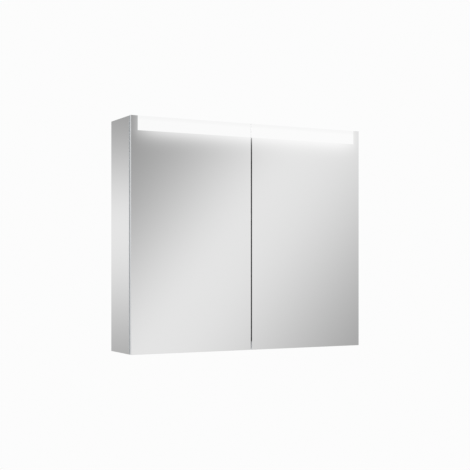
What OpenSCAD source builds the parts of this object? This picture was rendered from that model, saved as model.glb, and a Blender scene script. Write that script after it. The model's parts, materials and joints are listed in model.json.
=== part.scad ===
// Wall-hung mirror cabinet with two double-mirror doors and a lit band along their top edge.
// Millimetres. +X runs to the right along the front, +Y into the wall, +Z up.
// The origin is midway between the two wall screws, on the face of the wall.

/* [Cabinet] */
// Overall width across both doors
body_w = 800; // [600:10:1200]
// Overall height
body_h = 700; // [600:10:900]
// Overall depth from the wall to the face of the doors
body_d = 160; // [140:1:180]
// Height of the cabinet top above the wall screws
top_above_screws = 70; // [64:1:90]
// Thickness of each side, its mirror glass included
side_t = 16; // [14:1:22]
// Thickness of the mirror glass on the outside of each side
side_glass_t = 4; // [3:0.5:4]
// Thickness of the top panel
top_t = 16; // [12:1:20]
// Thickness of the bottom panel
bottom_t = 16; // [12:1:16]

/* [Back] */
// Thickness of the mirror glass that lines the back
back_mirror_t = 4; // [3:0.5:6]
// Thickness of the sheet that covers the back
back_cover_t = 1.5; // [1:0.25:2.5]
// Space behind the back cover for the hanging parts
wall_space = 11.5; // [11.5:0.5:18]

/* [Doors] */
// Thickness of each of a door's two glasses
glass_t = 3; // [3:0.5:5]
// Gap between the two doors
door_gap = 4; // [2:0.5:6]
// Ground bevel round each mirror glass
glass_bevel = 0.4; // [0.3:0.1:1]
// Opening angle of the doors, in degrees
door_travel = 90; // [60:5:90]

/* [Door hinge profile] */
// Radius of the round bead that the door turns on
bead_r = 2; // [1.5:0.1:2.5]
// Radial play of the bead in its socket
bead_play = 0.06; // [0.02:0.01:0.1]
// Wall of the socket round the bead
socket_wall = 1.4; // [1:0.1:2]
// Thickness of the neck between the bead and its foot
neck_t = 1.4; // [1:0.1:1.6]
// Thickness of the foot that is bonded to the glass
foot_t = 1.4; // [1:0.1:2]
// Width of the foot
foot_w = 19; // [14:1:19]
// How far the hinge profile stands back from the side of the cabinet
hinge_inset = 1; // [0.5:0.1:2]
// Thickness of the profile's base on the side panel
hinge_base_t = 2.2; // [2.2:0.1:3]
// Thickness of the plates that close the socket's ends
end_plate_t = 1.5; // [1:0.5:3]
// Length of the plastic bearings in the socket's ends
bearing_l = 4; // [3:0.5:8]
// Gap kept between parts that swing past each other
swing_gap = 0.3; // [0.3:0.05:0.5]

/* [Light] */
// Height of the light housing
light_h = 54; // [50:1:60]
// Depth of the light housing
light_d = 36; // [30:1:45]
// Wall of the light housing
light_wall = 2; // [1.5:0.5:3]
// Face below the diffuser that the upper door buffers rest on
light_lip = 8; // [8:1:12]
// Thickness of the opal diffuser
diffuser_t = 3; // [2:0.5:4]
// Thickness of the end caps of the light housing
light_cap_t = 3; // [2:0.5:5]
// Width of the circuit board strip
led_board_w = 14; // [10:1:20]
// Thickness of the circuit board strip
led_board_t = 1.6; // [1:0.2:2]
// Distance between two light-emitting chips
led_pitch = 20; // [15:1:30]
// Length of a chip
led_l = 5; // [3:0.5:7]
// Height of a chip
led_h = 3; // [2:0.5:5]
// Thickness of a chip
led_t = 1; // [0.5:0.1:1.5]

/* [Bottom rail] */
// Height of the rail behind the bottom of the doors
rail_h = 26; // [26:1:34]
// Wall of the rail
rail_wall = 2; // [1.5:0.5:3]
// Depth of the finger space behind the doors
grip_d = 14; // [12:1:20]
// Height of the rail's front lip
rail_lip = 8; // [8:1:12]

/* [Shelves] */
// Number of glass shelves
shelf_count = 2; // [2:1:2]
// Thickness of a shelf
shelf_t = 6; // [5:1:8]
// Depth of a shelf
shelf_d = 110; // [80:5:110]
// Gap between a shelf's end and the side panel
shelf_end_gap = 1.5; // [1:0.5:3]
// Height of the lower shelf above the bottom panel
shelf_rise = 200; // [150:10:220]
// Distance between the undersides of the two shelves
shelf_step = 200; // [150:10:220]
// Radius of a support's plug
plug_r = 2.5; // [2:0.5:3]
// Length of the plug in the side panel
plug_l = 9; // [6:1:9]
// Distance of the supports from the shelf's front and back edges
support_inset = 20; // [15:1:30]
// Distance between two holes in a row
hole_pitch = 32; // [25:1:40]

/* [Corner joints] */
// Radius of a dowel
dowel_r = 4; // [3:0.5:4]
// Length of a dowel
dowel_l = 30; // [24:2:40]
// Depth of a dowel's hole in the side panel
dowel_side_l = 9; // [8:1:9]
// Width of an angle bracket
bracket_w = 24; // [18:2:30]
// Height of a bracket's leg on the side panel
bracket_leg = 9; // [8:1:9]
// Thickness of a bracket
bracket_t = 1.5; // [1:0.25:2]

/* [Power point] */
// Width of the power point's box
power_w = 104; // [96:1:130]
// Height of the box
power_h = 64; // [60:1:80]
// Depth of the box
power_d = 42; // [36:1:50]
// Wall of the box
power_wall = 2.5; // [2:0.5:3]
// Radius of the socket's well
well_r = 19.5; // [18:0.5:20]
// Depth of the socket's well
well_d = 16; // [12:0.5:18]
// Wall round the well
well_wall = 2.5; // [2:0.5:3]
// Radius of a contact hole
contact_r = 2.6; // [2.4:0.1:3]
// Distance between the contact holes
contact_pitch = 19; // [18:0.5:20]
// Width of the rocker
rocker_w = 18; // [14:1:22]
// Height of the rocker
rocker_h = 28; // [24:1:36]
// Tilt of the rocker to each side, in degrees
rocker_tilt = 7; // [5:1:9]
// Radius of the rocker's pivot pins
rocker_pin_r = 1.5; // [1:0.25:2]

/* [Hanging] */
// Distance between the two wall screws
screw_spacing = 600; // [400:10:600]
// Radius of the wall screw holes
screw_hole_r = 3.5; // [3:0.25:4]
// Length of the wall rail
wall_rail_l = 680; // [660:10:700]
// Height of the wall rail's plate
wall_rail_h = 36; // [30:1:40]
// Thickness of the steel of the rail and the hooks
steel_t = 2; // [1.5:0.25:2]
// Height of the rail's upstanding lip
hook_lip_h = 10; // [8:1:12]
// Width of a hook
hook_w = 50; // [40:5:60]
// Size of the rubber spacers at the foot of the back
spacer_w = 30; // [20:5:40]

/* [Hidden] */
$fn = 48;
eps = 0.01;

// Planes of the cabinet
z_top = top_above_screws;
z_bottom = z_top - body_h;
front_y = -body_d;
door_back_y = front_y + 2 * glass_t;
door_w = (body_w - door_gap) / 2;
inner_x = body_w / 2 - side_t;
inner_w = 2 * inner_x;
side_glass_x = body_w / 2 - side_glass_t;
cover_back_y = -wall_space;
cover_front_y = cover_back_y - back_cover_t;
mirror_front_y = cover_front_y - back_mirror_t;
frame_gap = 2;
frame_front_y = door_back_y + frame_gap;
floor_z = z_bottom + rail_h;
ceiling_z = z_top - light_h;
light_back_y = frame_front_y + light_d;
service_t = 2;

// Hinge profile: the pivot's place from the door's outer back edge
socket_r = bead_r + bead_play;
socket_out_r = socket_r + socket_wall;
pivot_in = hinge_inset + socket_out_r;
pivot_back = foot_t + swing_gap + socket_out_r;
strip_d = pivot_back + pivot_in + swing_gap;
pivot_x = body_w / 2 - pivot_in;
pivot_y = door_back_y + pivot_back;
side_front_y = door_back_y + strip_d;
neck_margin = 30;
socket_l = body_h - 2 * end_plate_t;
bead_l = socket_l - 2 * bearing_l - swing_gap;
bead_z = z_bottom + end_plate_t + bearing_l;

// Bottom rail
web_y = frame_front_y + grip_d;
bottom_front_y = web_y + rail_wall;

// Shelves
shelf_back_gap = 2;
shelf_back_y = mirror_front_y - shelf_back_gap;
shelf_front_y = shelf_back_y - shelf_d;
shelf_z = [for (i = [0 : shelf_count - 1]) floor_z + shelf_rise + i * shelf_step];
support_y = [shelf_front_y + support_inset, shelf_back_y - support_inset];
pad_t = 1;
tongue_t = 3;
tongue_l = 10;
tongue_w = 12;
plug_fit = 0.05;
plug_drop = pad_t + tongue_t / 2;
hole_rows = [-2 : 2];

// Power point, in the right rear corner under the service cover
power_x = inner_x - power_w / 2;
power_top_z = ceiling_z;
power_z = power_top_z - power_h / 2;
power_front_y = mirror_front_y - power_d;
face_t = 2.5;
face_bevel = 0.5;
face_front_y = power_front_y - face_t;
power_margin = 8;
well_out_r = well_r + well_wall;
well_x = power_x - power_w / 2 + well_out_r + power_margin;
well_fit = 0.15;
well_floor_t = 5;
well_flange_t = 1.5;
well_flange_w = 1.5;
sleeve_l = 12;
sleeve_wall = 0.8;
clip_w = 5.6;
clip_t = 1;
clip_fit = 0.2;
clip_start = well_flange_t + 2;
clip_l = well_d - clip_start - 2;
clip_z = well_r + clip_t / 2 + clip_fit;
switch_wall = 2;
rocker_gap = 0.4;
switch_out_w = rocker_w + 2 * (rocker_gap + switch_wall);
switch_out_h = rocker_h + 2 * (rocker_gap + switch_wall);
switch_x = power_x + power_w / 2 - switch_out_w / 2 - power_margin;
rocker_pivot_d = 4;
rocker_pivot_y = face_front_y + rocker_pivot_d;
rocker_pin_fit = 0.06;
rocker_d = 7;
rocker_keel_d = rocker_pin_r + 1;
rocker_keel_h = 4;
rocker_proud = 2.4;
switch_d = 14;
switch_rim_w = 1.5;
switch_rim_t = 1;

// Light unit
diffuser_h = light_h - light_wall - light_lip;
diffuser_z = ceiling_z + light_lip;
light_l = inner_w - 2 * light_cap_t;
diffuser_fit = 0.2;
led_wall_y = light_back_y - light_wall;
led_z = diffuser_z + diffuser_h / 2;
led_end_gap = 2;
led_count = floor((light_l - 2 * led_pitch) / led_pitch);
driver_w = 190;
driver_d = 42;
driver_h = 24;
driver_foot_l = 12;
driver_foot_t = 2;
driver_x = 150;
driver_y = (light_back_y + mirror_front_y) / 2;
terminal_w = 46;
terminal_d = 20;
terminal_h = 16;
terminal_ways = 3;
terminal_bore_r = 2.2;
terminal_bore_l = 8;
terminal_x = 10;
grommet_r = 9;
grommet_bore_r = 4;
grommet_flange_r = 12;
grommet_z = z_top - top_t - grommet_flange_r - 2;
grommet_flange_t = 1.5;
grommet_fit = 0.1;

// Door furniture
magnet_x = 24;
magnet_w = 30;
magnet_h = 13;
magnet_d = 16;
magnet_face_w = 20;
magnet_face_h = 6;
magnet_face_t = 3;
striker_w = 26;
striker_h = 10;
striker_t = frame_gap - swing_gap;
striker_z = floor_z + magnet_h / 2;
buffer_r = 3.2;
buffer_t = frame_gap - swing_gap;
buffer_x = [60, body_w / 2 - 60];

// Hanging parts
hook_plate_y = cover_back_y;
hook_lip_gap = 1.5;
lip_y = cover_back_y + steel_t + hook_lip_gap;
tongue_y = lip_y + steel_t + swing_gap;
tongue_z = wall_rail_h / 2 + 2;
lip_top_z = wall_rail_h / 2 + hook_lip_h;
hook_x = screw_spacing / 2 - 30;
hook_screw_r = 2;
hook_head_r = 3.6;
hook_head_t = 1.8;
hook_key_r = 1.7;
hook_screw_l = 28;
hook_screw_z = z_top - top_t / 2;
hook_screw_dx = hook_w / 2 - 10;
hook_head_y = hook_plate_y + steel_t;
hook_tip_y = hook_head_y - hook_screw_l;
screw_fit = 0.1;

// Corner joints: dowels in blind holes, and angle brackets under the panels
joint_z = [z_top - top_t / 2, floor_z - bottom_t / 2];
under_z = [z_top - top_t, floor_z - bottom_t];
dowel_y = [light_back_y + 15, cover_front_y - 15];
dowel_fit = 0.05;
bracket_y = (dowel_y[0] + dowel_y[1]) / 2;
bracket_foot = 18;
bracket_screw_x = inner_x - bracket_foot + 6;
bracket_screw_drop = bracket_leg - 4;
screw_r = 1.5;
screw_head_r = 3;
screw_head_t = 1.2;
screw_key_r = 1.3;
screw_l = 10;
tip_gap = 0.5;

// A slab that runs along X, with its section drawn in Y and Z
module along_x(length) {
    translate([-length / 2, 0, 0])
        rotate([90, 0, 90])
            linear_extrude(length)
                children();
}

// A cube given by its lowest and highest corners
module block(low, high) {
    translate(low)
        cube(high - low);
}

// A cylinder that lies along Y from its start
module rod_y(r, length) {
    rotate([-90, 0, 0])
        cylinder(r = r, h = length);
}

// A cylinder that lies along X from its start
module rod_x(r, length) {
    rotate([0, 90, 0])
        cylinder(r = r, h = length);
}

// Copies its children on the right and, mirrored, on the left
module both_sides() {
    children();
    mirror([1, 0, 0])
        children();
}

// An upright plate with a bevel round its front face, its low left front corner at the origin
module bevelled_plate(w, t, h, bevel) {
    intersection() {
        linear_extrude(h)
            polygon([[0, bevel], [bevel, 0], [w - bevel, 0], [w, bevel], [w, t], [0, t]]);
        rotate([90, 0, 90])
            linear_extrude(w)
                polygon([[0, bevel], [bevel, 0], [t, 0], [t, h], [bevel, h], [0, h - bevel]]);
    }
}

// Right side panel with the holes for the shelf supports, the dowels and a bracket's screw
module side_panel() {
    color("lightgray")
        difference() {
            block([inner_x, side_front_y, z_bottom], [side_glass_x, 0, z_top]);
            for (z = shelf_z, y = support_y, row = hole_rows)
                translate([inner_x - eps, y, z - plug_drop + row * hole_pitch])
                    rod_x(plug_r + plug_fit, plug_l + tip_gap);
            for (z = joint_z, y = dowel_y)
                translate([inner_x - eps, y, z])
                    rod_x(dowel_r + dowel_fit, dowel_side_l + tip_gap);
            for (z = under_z)
                translate([inner_x - eps, bracket_y, z - bracket_screw_drop])
                    rod_x(screw_r + dowel_fit, screw_l - bracket_t + tip_gap);
        }
}

// Mirror glass on the outside of the right side panel, with a bevel round its outer face
module side_mirror() {
    color("lightsteelblue")
        translate([body_w / 2, side_front_y, z_bottom])
            rotate([0, 0, 90])
                bevelled_plate(-side_front_y, side_glass_t, body_h, glass_bevel);
}

module side_right() {
    side_panel();
}

module side_left() {
    mirror([1, 0, 0])
        side_panel();
}

module side_mirror_right() {
    side_mirror();
}

module side_mirror_left() {
    mirror([1, 0, 0])
        side_mirror();
}

// Holes for the dowels and the bracket's screws in a panel between the sides
module corner_holes(i) {
    panel_l = dowel_l - dowel_side_l + tip_gap;
    both_sides() {
        for (y = dowel_y)
            translate([inner_x - panel_l, y, joint_z[i]])
                rod_x(dowel_r + dowel_fit, panel_l + eps);
        translate([bracket_screw_x, bracket_y, under_z[i] - eps])
            cylinder(r = screw_r + dowel_fit, h = screw_l - bracket_t + tip_gap);
    }
}

module top_panel() {
    color("lightgray")
        difference() {
            block([-inner_x, light_back_y, z_top - top_t], [inner_x, cover_front_y, z_top]);
            corner_holes(0);
            for (x = [-hook_x, hook_x], dx = [-hook_screw_dx, hook_screw_dx])
                translate([x + dx, hook_tip_y - tip_gap, hook_screw_z])
                    rod_y(hook_screw_r + screw_fit, cover_front_y - hook_tip_y + tip_gap + eps);
        }
}

module bottom_panel() {
    color("lightgray")
        difference() {
            block([-inner_x, bottom_front_y, floor_z - bottom_t], [inner_x, cover_front_y, floor_z]);
            corner_holes(1);
        }
}

// Aluminium rail with a lip behind the doors and a finger space that is open below
module bottom_rail() {
    color("silver")
        along_x(inner_w)
            polygon([
                [frame_front_y, floor_z - rail_lip], [frame_front_y + rail_wall, floor_z - rail_lip],
                [frame_front_y + rail_wall, floor_z - rail_wall], [web_y, floor_z - rail_wall],
                [web_y, z_bottom], [bottom_front_y, z_bottom],
                [bottom_front_y, floor_z], [frame_front_y, floor_z]
            ]);
}

module grommet_hole() {
    translate([0, mirror_front_y - eps, grommet_z])
        rod_y(grommet_r, back_mirror_t + back_cover_t + 2 * eps);
}

module back_mirror() {
    color("lightsteelblue")
        difference() {
            block([-inner_x, mirror_front_y, floor_z], [inner_x, cover_front_y, z_top - top_t]);
            grommet_hole();
        }
}

module back_cover() {
    color("gainsboro")
        difference() {
            block([-inner_x, cover_front_y, floor_z - bottom_t], [inner_x, cover_back_y, z_top]);
            grommet_hole();
            for (x = [-hook_x, hook_x], dx = [-hook_screw_dx, hook_screw_dx])
                translate([x + dx, cover_front_y - eps, hook_screw_z])
                    rod_y(hook_screw_r + screw_fit, back_cover_t + 2 * eps);
        }
}

// Sheet that hides the driver and the wiring above the storage space
module service_cover() {
    color("gainsboro")
        block([-inner_x, light_back_y, ceiling_z], [inner_x, mirror_front_y, ceiling_z + service_t]);
}

// Outline of the right socket profile about the pivot: +x runs outwards, +y backwards
module socket_outline() {
    base_y = strip_d - pivot_back;
    circle(r = socket_out_r);
    translate([-socket_out_r, 0])
        square([2 * socket_out_r, base_y]);
    translate([pivot_in - side_t, base_y - hinge_base_t])
        square([side_t - hinge_inset, hinge_base_t]);
}

// The outline with the bead's bore and the opening that the neck swings in
module socket_section() {
    opening = door_travel + 2 * neck_margin;
    difference() {
        socket_outline();
        circle(r = socket_r);
        polygon(concat(
            [[0, 0]],
            [for (i = [0 : 3]) let (a = -90 - neck_margin + i * opening / 3)
                2 * socket_out_r * [cos(a), sin(a)]]
        ));
    }
}

module socket_profile() {
    color("slategray")
        translate([pivot_x, pivot_y, z_bottom + end_plate_t])
            linear_extrude(socket_l)
                socket_section();
}

module hinge_socket_right() {
    socket_profile();
}

module hinge_socket_left() {
    mirror([1, 0, 0])
        socket_profile();
}

// Plates over the ends of both sockets
module hinge_end_plates() {
    color("darkgray")
        both_sides()
            for (z = [z_bottom, z_top - end_plate_t])
                translate([pivot_x, pivot_y, z])
                    linear_extrude(end_plate_t)
                        socket_outline();
}

// Plastic bearings under and over both beads
module hinge_bearings() {
    color("white")
        both_sides()
            for (z = [z_bottom + end_plate_t, z_top - end_plate_t - bearing_l])
                translate([pivot_x, pivot_y, z])
                    cylinder(r = bead_r, h = bearing_l);
}

// Section of the light housing in Y and Z: a channel that is open to the front
module light_section() {
    difference() {
        translate([frame_front_y, ceiling_z])
            square([light_d, light_h]);
        translate([frame_front_y + diffuser_t, ceiling_z + light_wall])
            square([light_d - diffuser_t - light_wall, light_h - 2 * light_wall]);
        translate([frame_front_y - eps, diffuser_z])
            square([diffuser_t + 2 * eps, diffuser_h]);
    }
}

module light_housing() {
    color("silver")
        along_x(light_l)
            light_section();
}

module light_diffuser() {
    color("white")
        block([-light_l / 2, frame_front_y, diffuser_z + diffuser_fit / 2],
              [light_l / 2, frame_front_y + diffuser_t, diffuser_z + diffuser_h - diffuser_fit / 2]);
}

module light_end_caps() {
    color("silver")
        both_sides()
            block([light_l / 2, frame_front_y, ceiling_z], [inner_x, light_back_y, z_top]);
}

module led_board() {
    color("ivory")
        block([-light_l / 2 + led_end_gap, led_wall_y - led_board_t, led_z - led_board_w / 2],
              [light_l / 2 - led_end_gap, led_wall_y, led_z + led_board_w / 2]);
}

module led_chips() {
    color("khaki")
        for (i = [0 : led_count - 1])
            translate([(i - (led_count - 1) / 2) * led_pitch - led_l / 2,
                       led_wall_y - led_board_t - led_t, led_z - led_h / 2])
                cube([led_l, led_t, led_h]);
}

// Power supply of the light, hung from the top panel by its two feet
module led_driver() {
    color("whitesmoke") {
        block([driver_x - driver_w / 2, driver_y - driver_d / 2, under_z[0] - driver_h],
              [driver_x + driver_w / 2, driver_y + driver_d / 2, under_z[0]]);
        block([driver_x - driver_w / 2 - driver_foot_l, driver_y - driver_d / 4, under_z[0] - driver_foot_t],
              [driver_x + driver_w / 2 + driver_foot_l, driver_y + driver_d / 4, under_z[0]]);
    }
}

module terminal_block() {
    way_pitch = terminal_w / terminal_ways;
    color("white")
        difference() {
            block([terminal_x - terminal_w / 2, driver_y - terminal_d / 2, under_z[0] - terminal_h],
                  [terminal_x + terminal_w / 2, driver_y + terminal_d / 2, under_z[0]]);
            for (i = [0 : terminal_ways - 1])
                translate([terminal_x + (i - (terminal_ways - 1) / 2) * way_pitch,
                           driver_y - terminal_d / 2 - eps, under_z[0] - terminal_h / 2])
                    rod_y(terminal_bore_r, terminal_bore_l);
        }
}

// Rubber grommet that the supply cable comes in through
module cable_grommet() {
    color("dimgray")
        translate([0, mirror_front_y, grommet_z])
            difference() {
                union() {
                    rod_y(grommet_r - grommet_fit, back_mirror_t + back_cover_t);
                    translate([0, -grommet_flange_t, 0])
                        rod_y(grommet_flange_r, grommet_flange_t);
                    translate([0, back_mirror_t + back_cover_t, 0])
                        rod_y(grommet_flange_r, grommet_flange_t);
                }
                translate([0, -grommet_flange_t - eps, 0])
                    rod_y(grommet_bore_r, back_mirror_t + back_cover_t + 2 * (grommet_flange_t + eps));
            }
}

// Box of the power point, open to the front
module power_box() {
    color("whitesmoke")
        difference() {
            block([power_x - power_w / 2, power_front_y, power_z - power_h / 2],
                  [power_x + power_w / 2, mirror_front_y, power_z + power_h / 2]);
            block([power_x - power_w / 2 + power_wall, power_front_y - eps,
                   power_z - power_h / 2 + power_wall],
                  [power_x + power_w / 2 - power_wall, mirror_front_y - power_wall,
                   power_z + power_h / 2 - power_wall]);
        }
}

module power_faceplate() {
    color("white")
        difference() {
            translate([power_x - power_w / 2, face_front_y, power_z - power_h / 2])
                bevelled_plate(power_w, face_t, power_h, face_bevel);
            translate([well_x, face_front_y - eps, power_z])
                rod_y(well_out_r + well_fit, face_t + 2 * eps);
            block([switch_x - switch_out_w / 2 - well_fit, face_front_y - eps,
                   power_z - switch_out_h / 2 - well_fit],
                  [switch_x + switch_out_w / 2 + well_fit, face_front_y + face_t + eps,
                   power_z + switch_out_h / 2 + well_fit]);
        }
}

// Round well with two contact holes and two pockets for the earth clips
module socket_insert() {
    color("white")
        translate([well_x, face_front_y - well_flange_t, power_z])
            difference() {
                union() {
                    rod_y(well_out_r + well_flange_w, well_flange_t);
                    rod_y(well_out_r, well_d + well_floor_t);
                }
                translate([0, -eps, 0])
                    rod_y(well_r, well_d + eps);
                for (side = [-1, 1]) {
                    translate([side * contact_pitch / 2, 0, 0])
                        rod_y(contact_r, well_d + well_floor_t + eps);
                    translate([-clip_w / 2 - clip_fit, clip_start - clip_fit,
                               side * clip_z - clip_t / 2 - clip_fit])
                        cube([clip_w + 2 * clip_fit, clip_l + 2 * clip_fit, clip_t + 2 * clip_fit]);
                }
            }
}

// Brass sleeves behind the contact holes and the two earth clips
module socket_contacts() {
    color("goldenrod")
        translate([well_x, face_front_y - well_flange_t, power_z])
            for (side = [-1, 1]) {
                translate([side * contact_pitch / 2, well_d + well_floor_t, 0])
                    difference() {
                        rod_y(contact_r + sleeve_wall, sleeve_l);
                        translate([0, -eps, 0])
                            rod_y(contact_r, sleeve_l + 2 * eps);
                    }
                translate([-clip_w / 2, clip_start, side * clip_z - clip_t / 2])
                    cube([clip_w, clip_l, clip_t]);
            }
}

// Frame of the rocker switch with the bores for the rocker's pins
module switch_frame() {
    color("white")
        difference() {
            union() {
                block([switch_x - switch_out_w / 2, face_front_y, power_z - switch_out_h / 2],
                      [switch_x + switch_out_w / 2, face_front_y + switch_d, power_z + switch_out_h / 2]);
                block([switch_x - switch_out_w / 2 - switch_rim_w, face_front_y - switch_rim_t,
                       power_z - switch_out_h / 2 - switch_rim_w],
                      [switch_x + switch_out_w / 2 + switch_rim_w, face_front_y,
                       power_z + switch_out_h / 2 + switch_rim_w]);
            }
            block([switch_x - rocker_w / 2 - rocker_gap, face_front_y - switch_rim_t - eps,
                   power_z - rocker_h / 2 - rocker_gap],
                  [switch_x + rocker_w / 2 + rocker_gap, face_front_y + switch_d - switch_wall,
                   power_z + rocker_h / 2 + rocker_gap]);
            translate([switch_x - switch_out_w / 2 - eps, rocker_pivot_y, power_z])
                rod_x(rocker_pin_r + rocker_pin_fit, switch_out_w + 2 * eps);
        }
}

// Rocker, at rest tilted to its off side: a shallow vee front on two pins
module switch_rocker() {
    half_h = rocker_h / 2 - rocker_pin_r / 3;
    pin_l = switch_wall + rocker_gap / 2;
    nose = rocker_pivot_d + rocker_proud;
    color("whitesmoke")
        translate([switch_x, rocker_pivot_y, power_z])
            rotate([rocker_tilt, 0, 0]) {
                along_x(rocker_w)
                    polygon([
                        [-nose, -half_h], [-nose + half_h * sin(rocker_tilt), 0], [-nose, half_h],
                        [rocker_d - nose, half_h], [rocker_keel_d, rocker_keel_h],
                        [rocker_keel_d, -rocker_keel_h], [rocker_d - nose, -half_h]
                    ]);
                for (side = [-1, 1])
                    translate([side < 0 ? -rocker_w / 2 - pin_l : rocker_w / 2, 0, 0])
                        rod_x(rocker_pin_r, pin_l);
            }
}

module glass_shelf(index) {
    color("lightcyan")
        translate([-inner_x + shelf_end_gap, shelf_front_y, shelf_z[index]])
            cube([inner_w - 2 * shelf_end_gap, shelf_d, shelf_t]);
}

module shelf_lower() {
    glass_shelf(0);
}

module shelf_upper() {
    glass_shelf(1);
}

// Supports: a plug in the side panel and a flat tongue under the shelf
module shelf_supports() {
    color("silver")
        both_sides()
            for (z = shelf_z, y = support_y)
                translate([inner_x, y, z - plug_drop]) {
                    rod_x(plug_r, plug_l);
                    translate([-tongue_l, -tongue_w / 2, -tongue_t / 2])
                        cube([tongue_l, tongue_w, tongue_t]);
                }
}

module shelf_pads() {
    color("whitesmoke")
        both_sides()
            for (z = shelf_z, y = support_y)
                translate([inner_x - tongue_l, y - tongue_w / 2, z - pad_t])
                    cube([tongue_l, tongue_w, pad_t]);
}

// Housings of the magnets that hold the doors shut
module magnet_housings() {
    color("whitesmoke")
        both_sides()
            difference() {
                block([magnet_x - magnet_w / 2, frame_front_y, floor_z],
                      [magnet_x + magnet_w / 2, frame_front_y + magnet_d, floor_z + magnet_h]);
                block([magnet_x - magnet_face_w / 2, frame_front_y - eps, striker_z - magnet_face_h / 2],
                      [magnet_x + magnet_face_w / 2, frame_front_y + magnet_face_t,
                       striker_z + magnet_face_h / 2]);
            }
}

module magnets() {
    color("dimgray")
        both_sides()
            block([magnet_x - magnet_face_w / 2, frame_front_y, striker_z - magnet_face_h / 2],
                  [magnet_x + magnet_face_w / 2, frame_front_y + magnet_face_t,
                   striker_z + magnet_face_h / 2]);
}

// Soft buffers on the rail's lip and on the light housing's lip
module door_buffers() {
    color("lightgray")
        both_sides()
            for (x = buffer_x, z = [floor_z - rail_lip / 2, ceiling_z + light_lip / 2])
                translate([x, frame_front_y - buffer_t, z])
                    rod_y(buffer_r, buffer_t);
}

// Steel rail on the wall, with an upstanding lip that the hooks drop over
module wall_rail() {
    half_h = wall_rail_h / 2;
    color("silver")
        difference() {
            along_x(wall_rail_l)
                polygon([
                    [0, -half_h], [0, half_h], [lip_y + steel_t, half_h], [lip_y + steel_t, lip_top_z],
                    [lip_y, lip_top_z], [lip_y, half_h - steel_t], [-steel_t, half_h - steel_t],
                    [-steel_t, -half_h]
                ]);
            for (x = [-screw_spacing / 2, screw_spacing / 2])
                translate([x, -steel_t - eps, 0])
                    rod_y(screw_hole_r, steel_t + 2 * eps);
        }
}

// Hooks screwed to the rear edge of the top panel, resting on the rail's lip
module hanging_hooks() {
    hook_top_z = z_top - 2;
    color("gainsboro")
        for (x = [-hook_x, hook_x])
            difference() {
                translate([x, 0, 0])
                    along_x(hook_w)
                        polygon([
                            [hook_plate_y, lip_top_z], [tongue_y, lip_top_z], [tongue_y, tongue_z],
                            [tongue_y + steel_t, tongue_z], [tongue_y + steel_t, lip_top_z + steel_t],
                            [hook_head_y, lip_top_z + steel_t], [hook_head_y, hook_top_z],
                            [hook_plate_y, hook_top_z]
                        ]);
                for (dx = [-hook_screw_dx, hook_screw_dx])
                    translate([x + dx, hook_plate_y - eps, hook_screw_z])
                        rod_y(hook_screw_r + screw_fit, steel_t + 2 * eps);
            }
}

module hook_screws() {
    color("silver")
        for (x = [-hook_x, hook_x], dx = [-hook_screw_dx, hook_screw_dx])
            translate([x + dx, hook_head_y, hook_screw_z]) {
                difference() {
                    rod_y(hook_head_r, hook_head_t);
                    translate([0, hook_head_t / 2, 0])
                        rotate([-90, 30, 0])
                            cylinder(r = hook_key_r, h = hook_head_t, $fn = 6);
                }
                translate([0, -hook_screw_l, 0])
                    rod_y(hook_screw_r, hook_screw_l + eps);
            }
}

module wall_spacers() {
    spacer_x = inner_x - spacer_w;
    spacer_z = floor_z + spacer_w;
    color("dimgray")
        both_sides()
            block([spacer_x - spacer_w / 2, cover_back_y, spacer_z - spacer_w / 2],
                  [spacer_x + spacer_w / 2, 0, spacer_z + spacer_w / 2]);
}

module corner_dowels() {
    color("burlywood")
        both_sides()
            for (z = joint_z, y = dowel_y)
                translate([inner_x + dowel_side_l - dowel_l, y, z])
                    rod_x(dowel_r, dowel_l);
}

// Angle brackets under the top and bottom panels, against the side panels
module corner_brackets() {
    color("silver")
        both_sides()
            for (z = under_z)
                difference() {
                    union() {
                        block([inner_x - bracket_foot, bracket_y - bracket_w / 2, z - bracket_t],
                              [inner_x, bracket_y + bracket_w / 2, z]);
                        block([inner_x - bracket_t, bracket_y - bracket_w / 2, z - bracket_leg],
                              [inner_x, bracket_y + bracket_w / 2, z]);
                    }
                    translate([bracket_screw_x, bracket_y, z - bracket_t - eps])
                        cylinder(r = screw_r + dowel_fit, h = bracket_t + 2 * eps);
                    translate([inner_x - bracket_t - eps, bracket_y, z - bracket_screw_drop])
                        rod_x(screw_r + dowel_fit, bracket_t + 2 * eps);
                }
}

// A short pan-head screw that points up from the origin
module short_screw() {
    cylinder(r = screw_r, h = screw_l);
    translate([0, 0, -screw_head_t])
        difference() {
            cylinder(r = screw_head_r, h = screw_head_t);
            translate([0, 0, -eps])
                cylinder(r = screw_key_r, h = screw_head_t / 2, $fn = 6);
        }
}

module bracket_screws() {
    color("gainsboro")
        both_sides()
            for (z = under_z) {
                translate([bracket_screw_x, bracket_y, z - bracket_t])
                    short_screw();
                translate([inner_x - bracket_t, bracket_y, z - bracket_screw_drop])
                    rotate([0, 90, 0])
                        short_screw();
            }
}

// One glass of the right door; layer 0 is the front glass and layer 1 the back glass
module door_glass(layer) {
    color(layer == 0 ? "lightsteelblue" : "powderblue")
        translate([door_gap / 2, front_y + layer * glass_t, z_bottom])
            if (layer == 0)
                bevelled_plate(door_w, glass_t, body_h, glass_bevel);
            else
                translate([0, glass_t, 0])
                    mirror([0, 1, 0])
                        bevelled_plate(door_w, glass_t, body_h, glass_bevel);
}

// Foot, neck and bead of the right door's half of the hinge, about the pivot
module hinge_rail_profile() {
    color("silver")
        translate([pivot_x, pivot_y, bead_z])
            linear_extrude(bead_l)
                union() {
                    circle(r = bead_r);
                    translate([-neck_t / 2, -pivot_back + foot_t / 2])
                        square([neck_t, pivot_back - foot_t / 2]);
                    translate([pivot_in - hinge_inset - foot_w, -pivot_back])
                        square([foot_w, foot_t]);
                }
}

module striker() {
    color("silver")
        block([magnet_x - striker_w / 2, door_back_y, striker_z - striker_h / 2],
              [magnet_x + striker_w / 2, door_back_y + striker_t, striker_z + striker_h / 2]);
}

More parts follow.
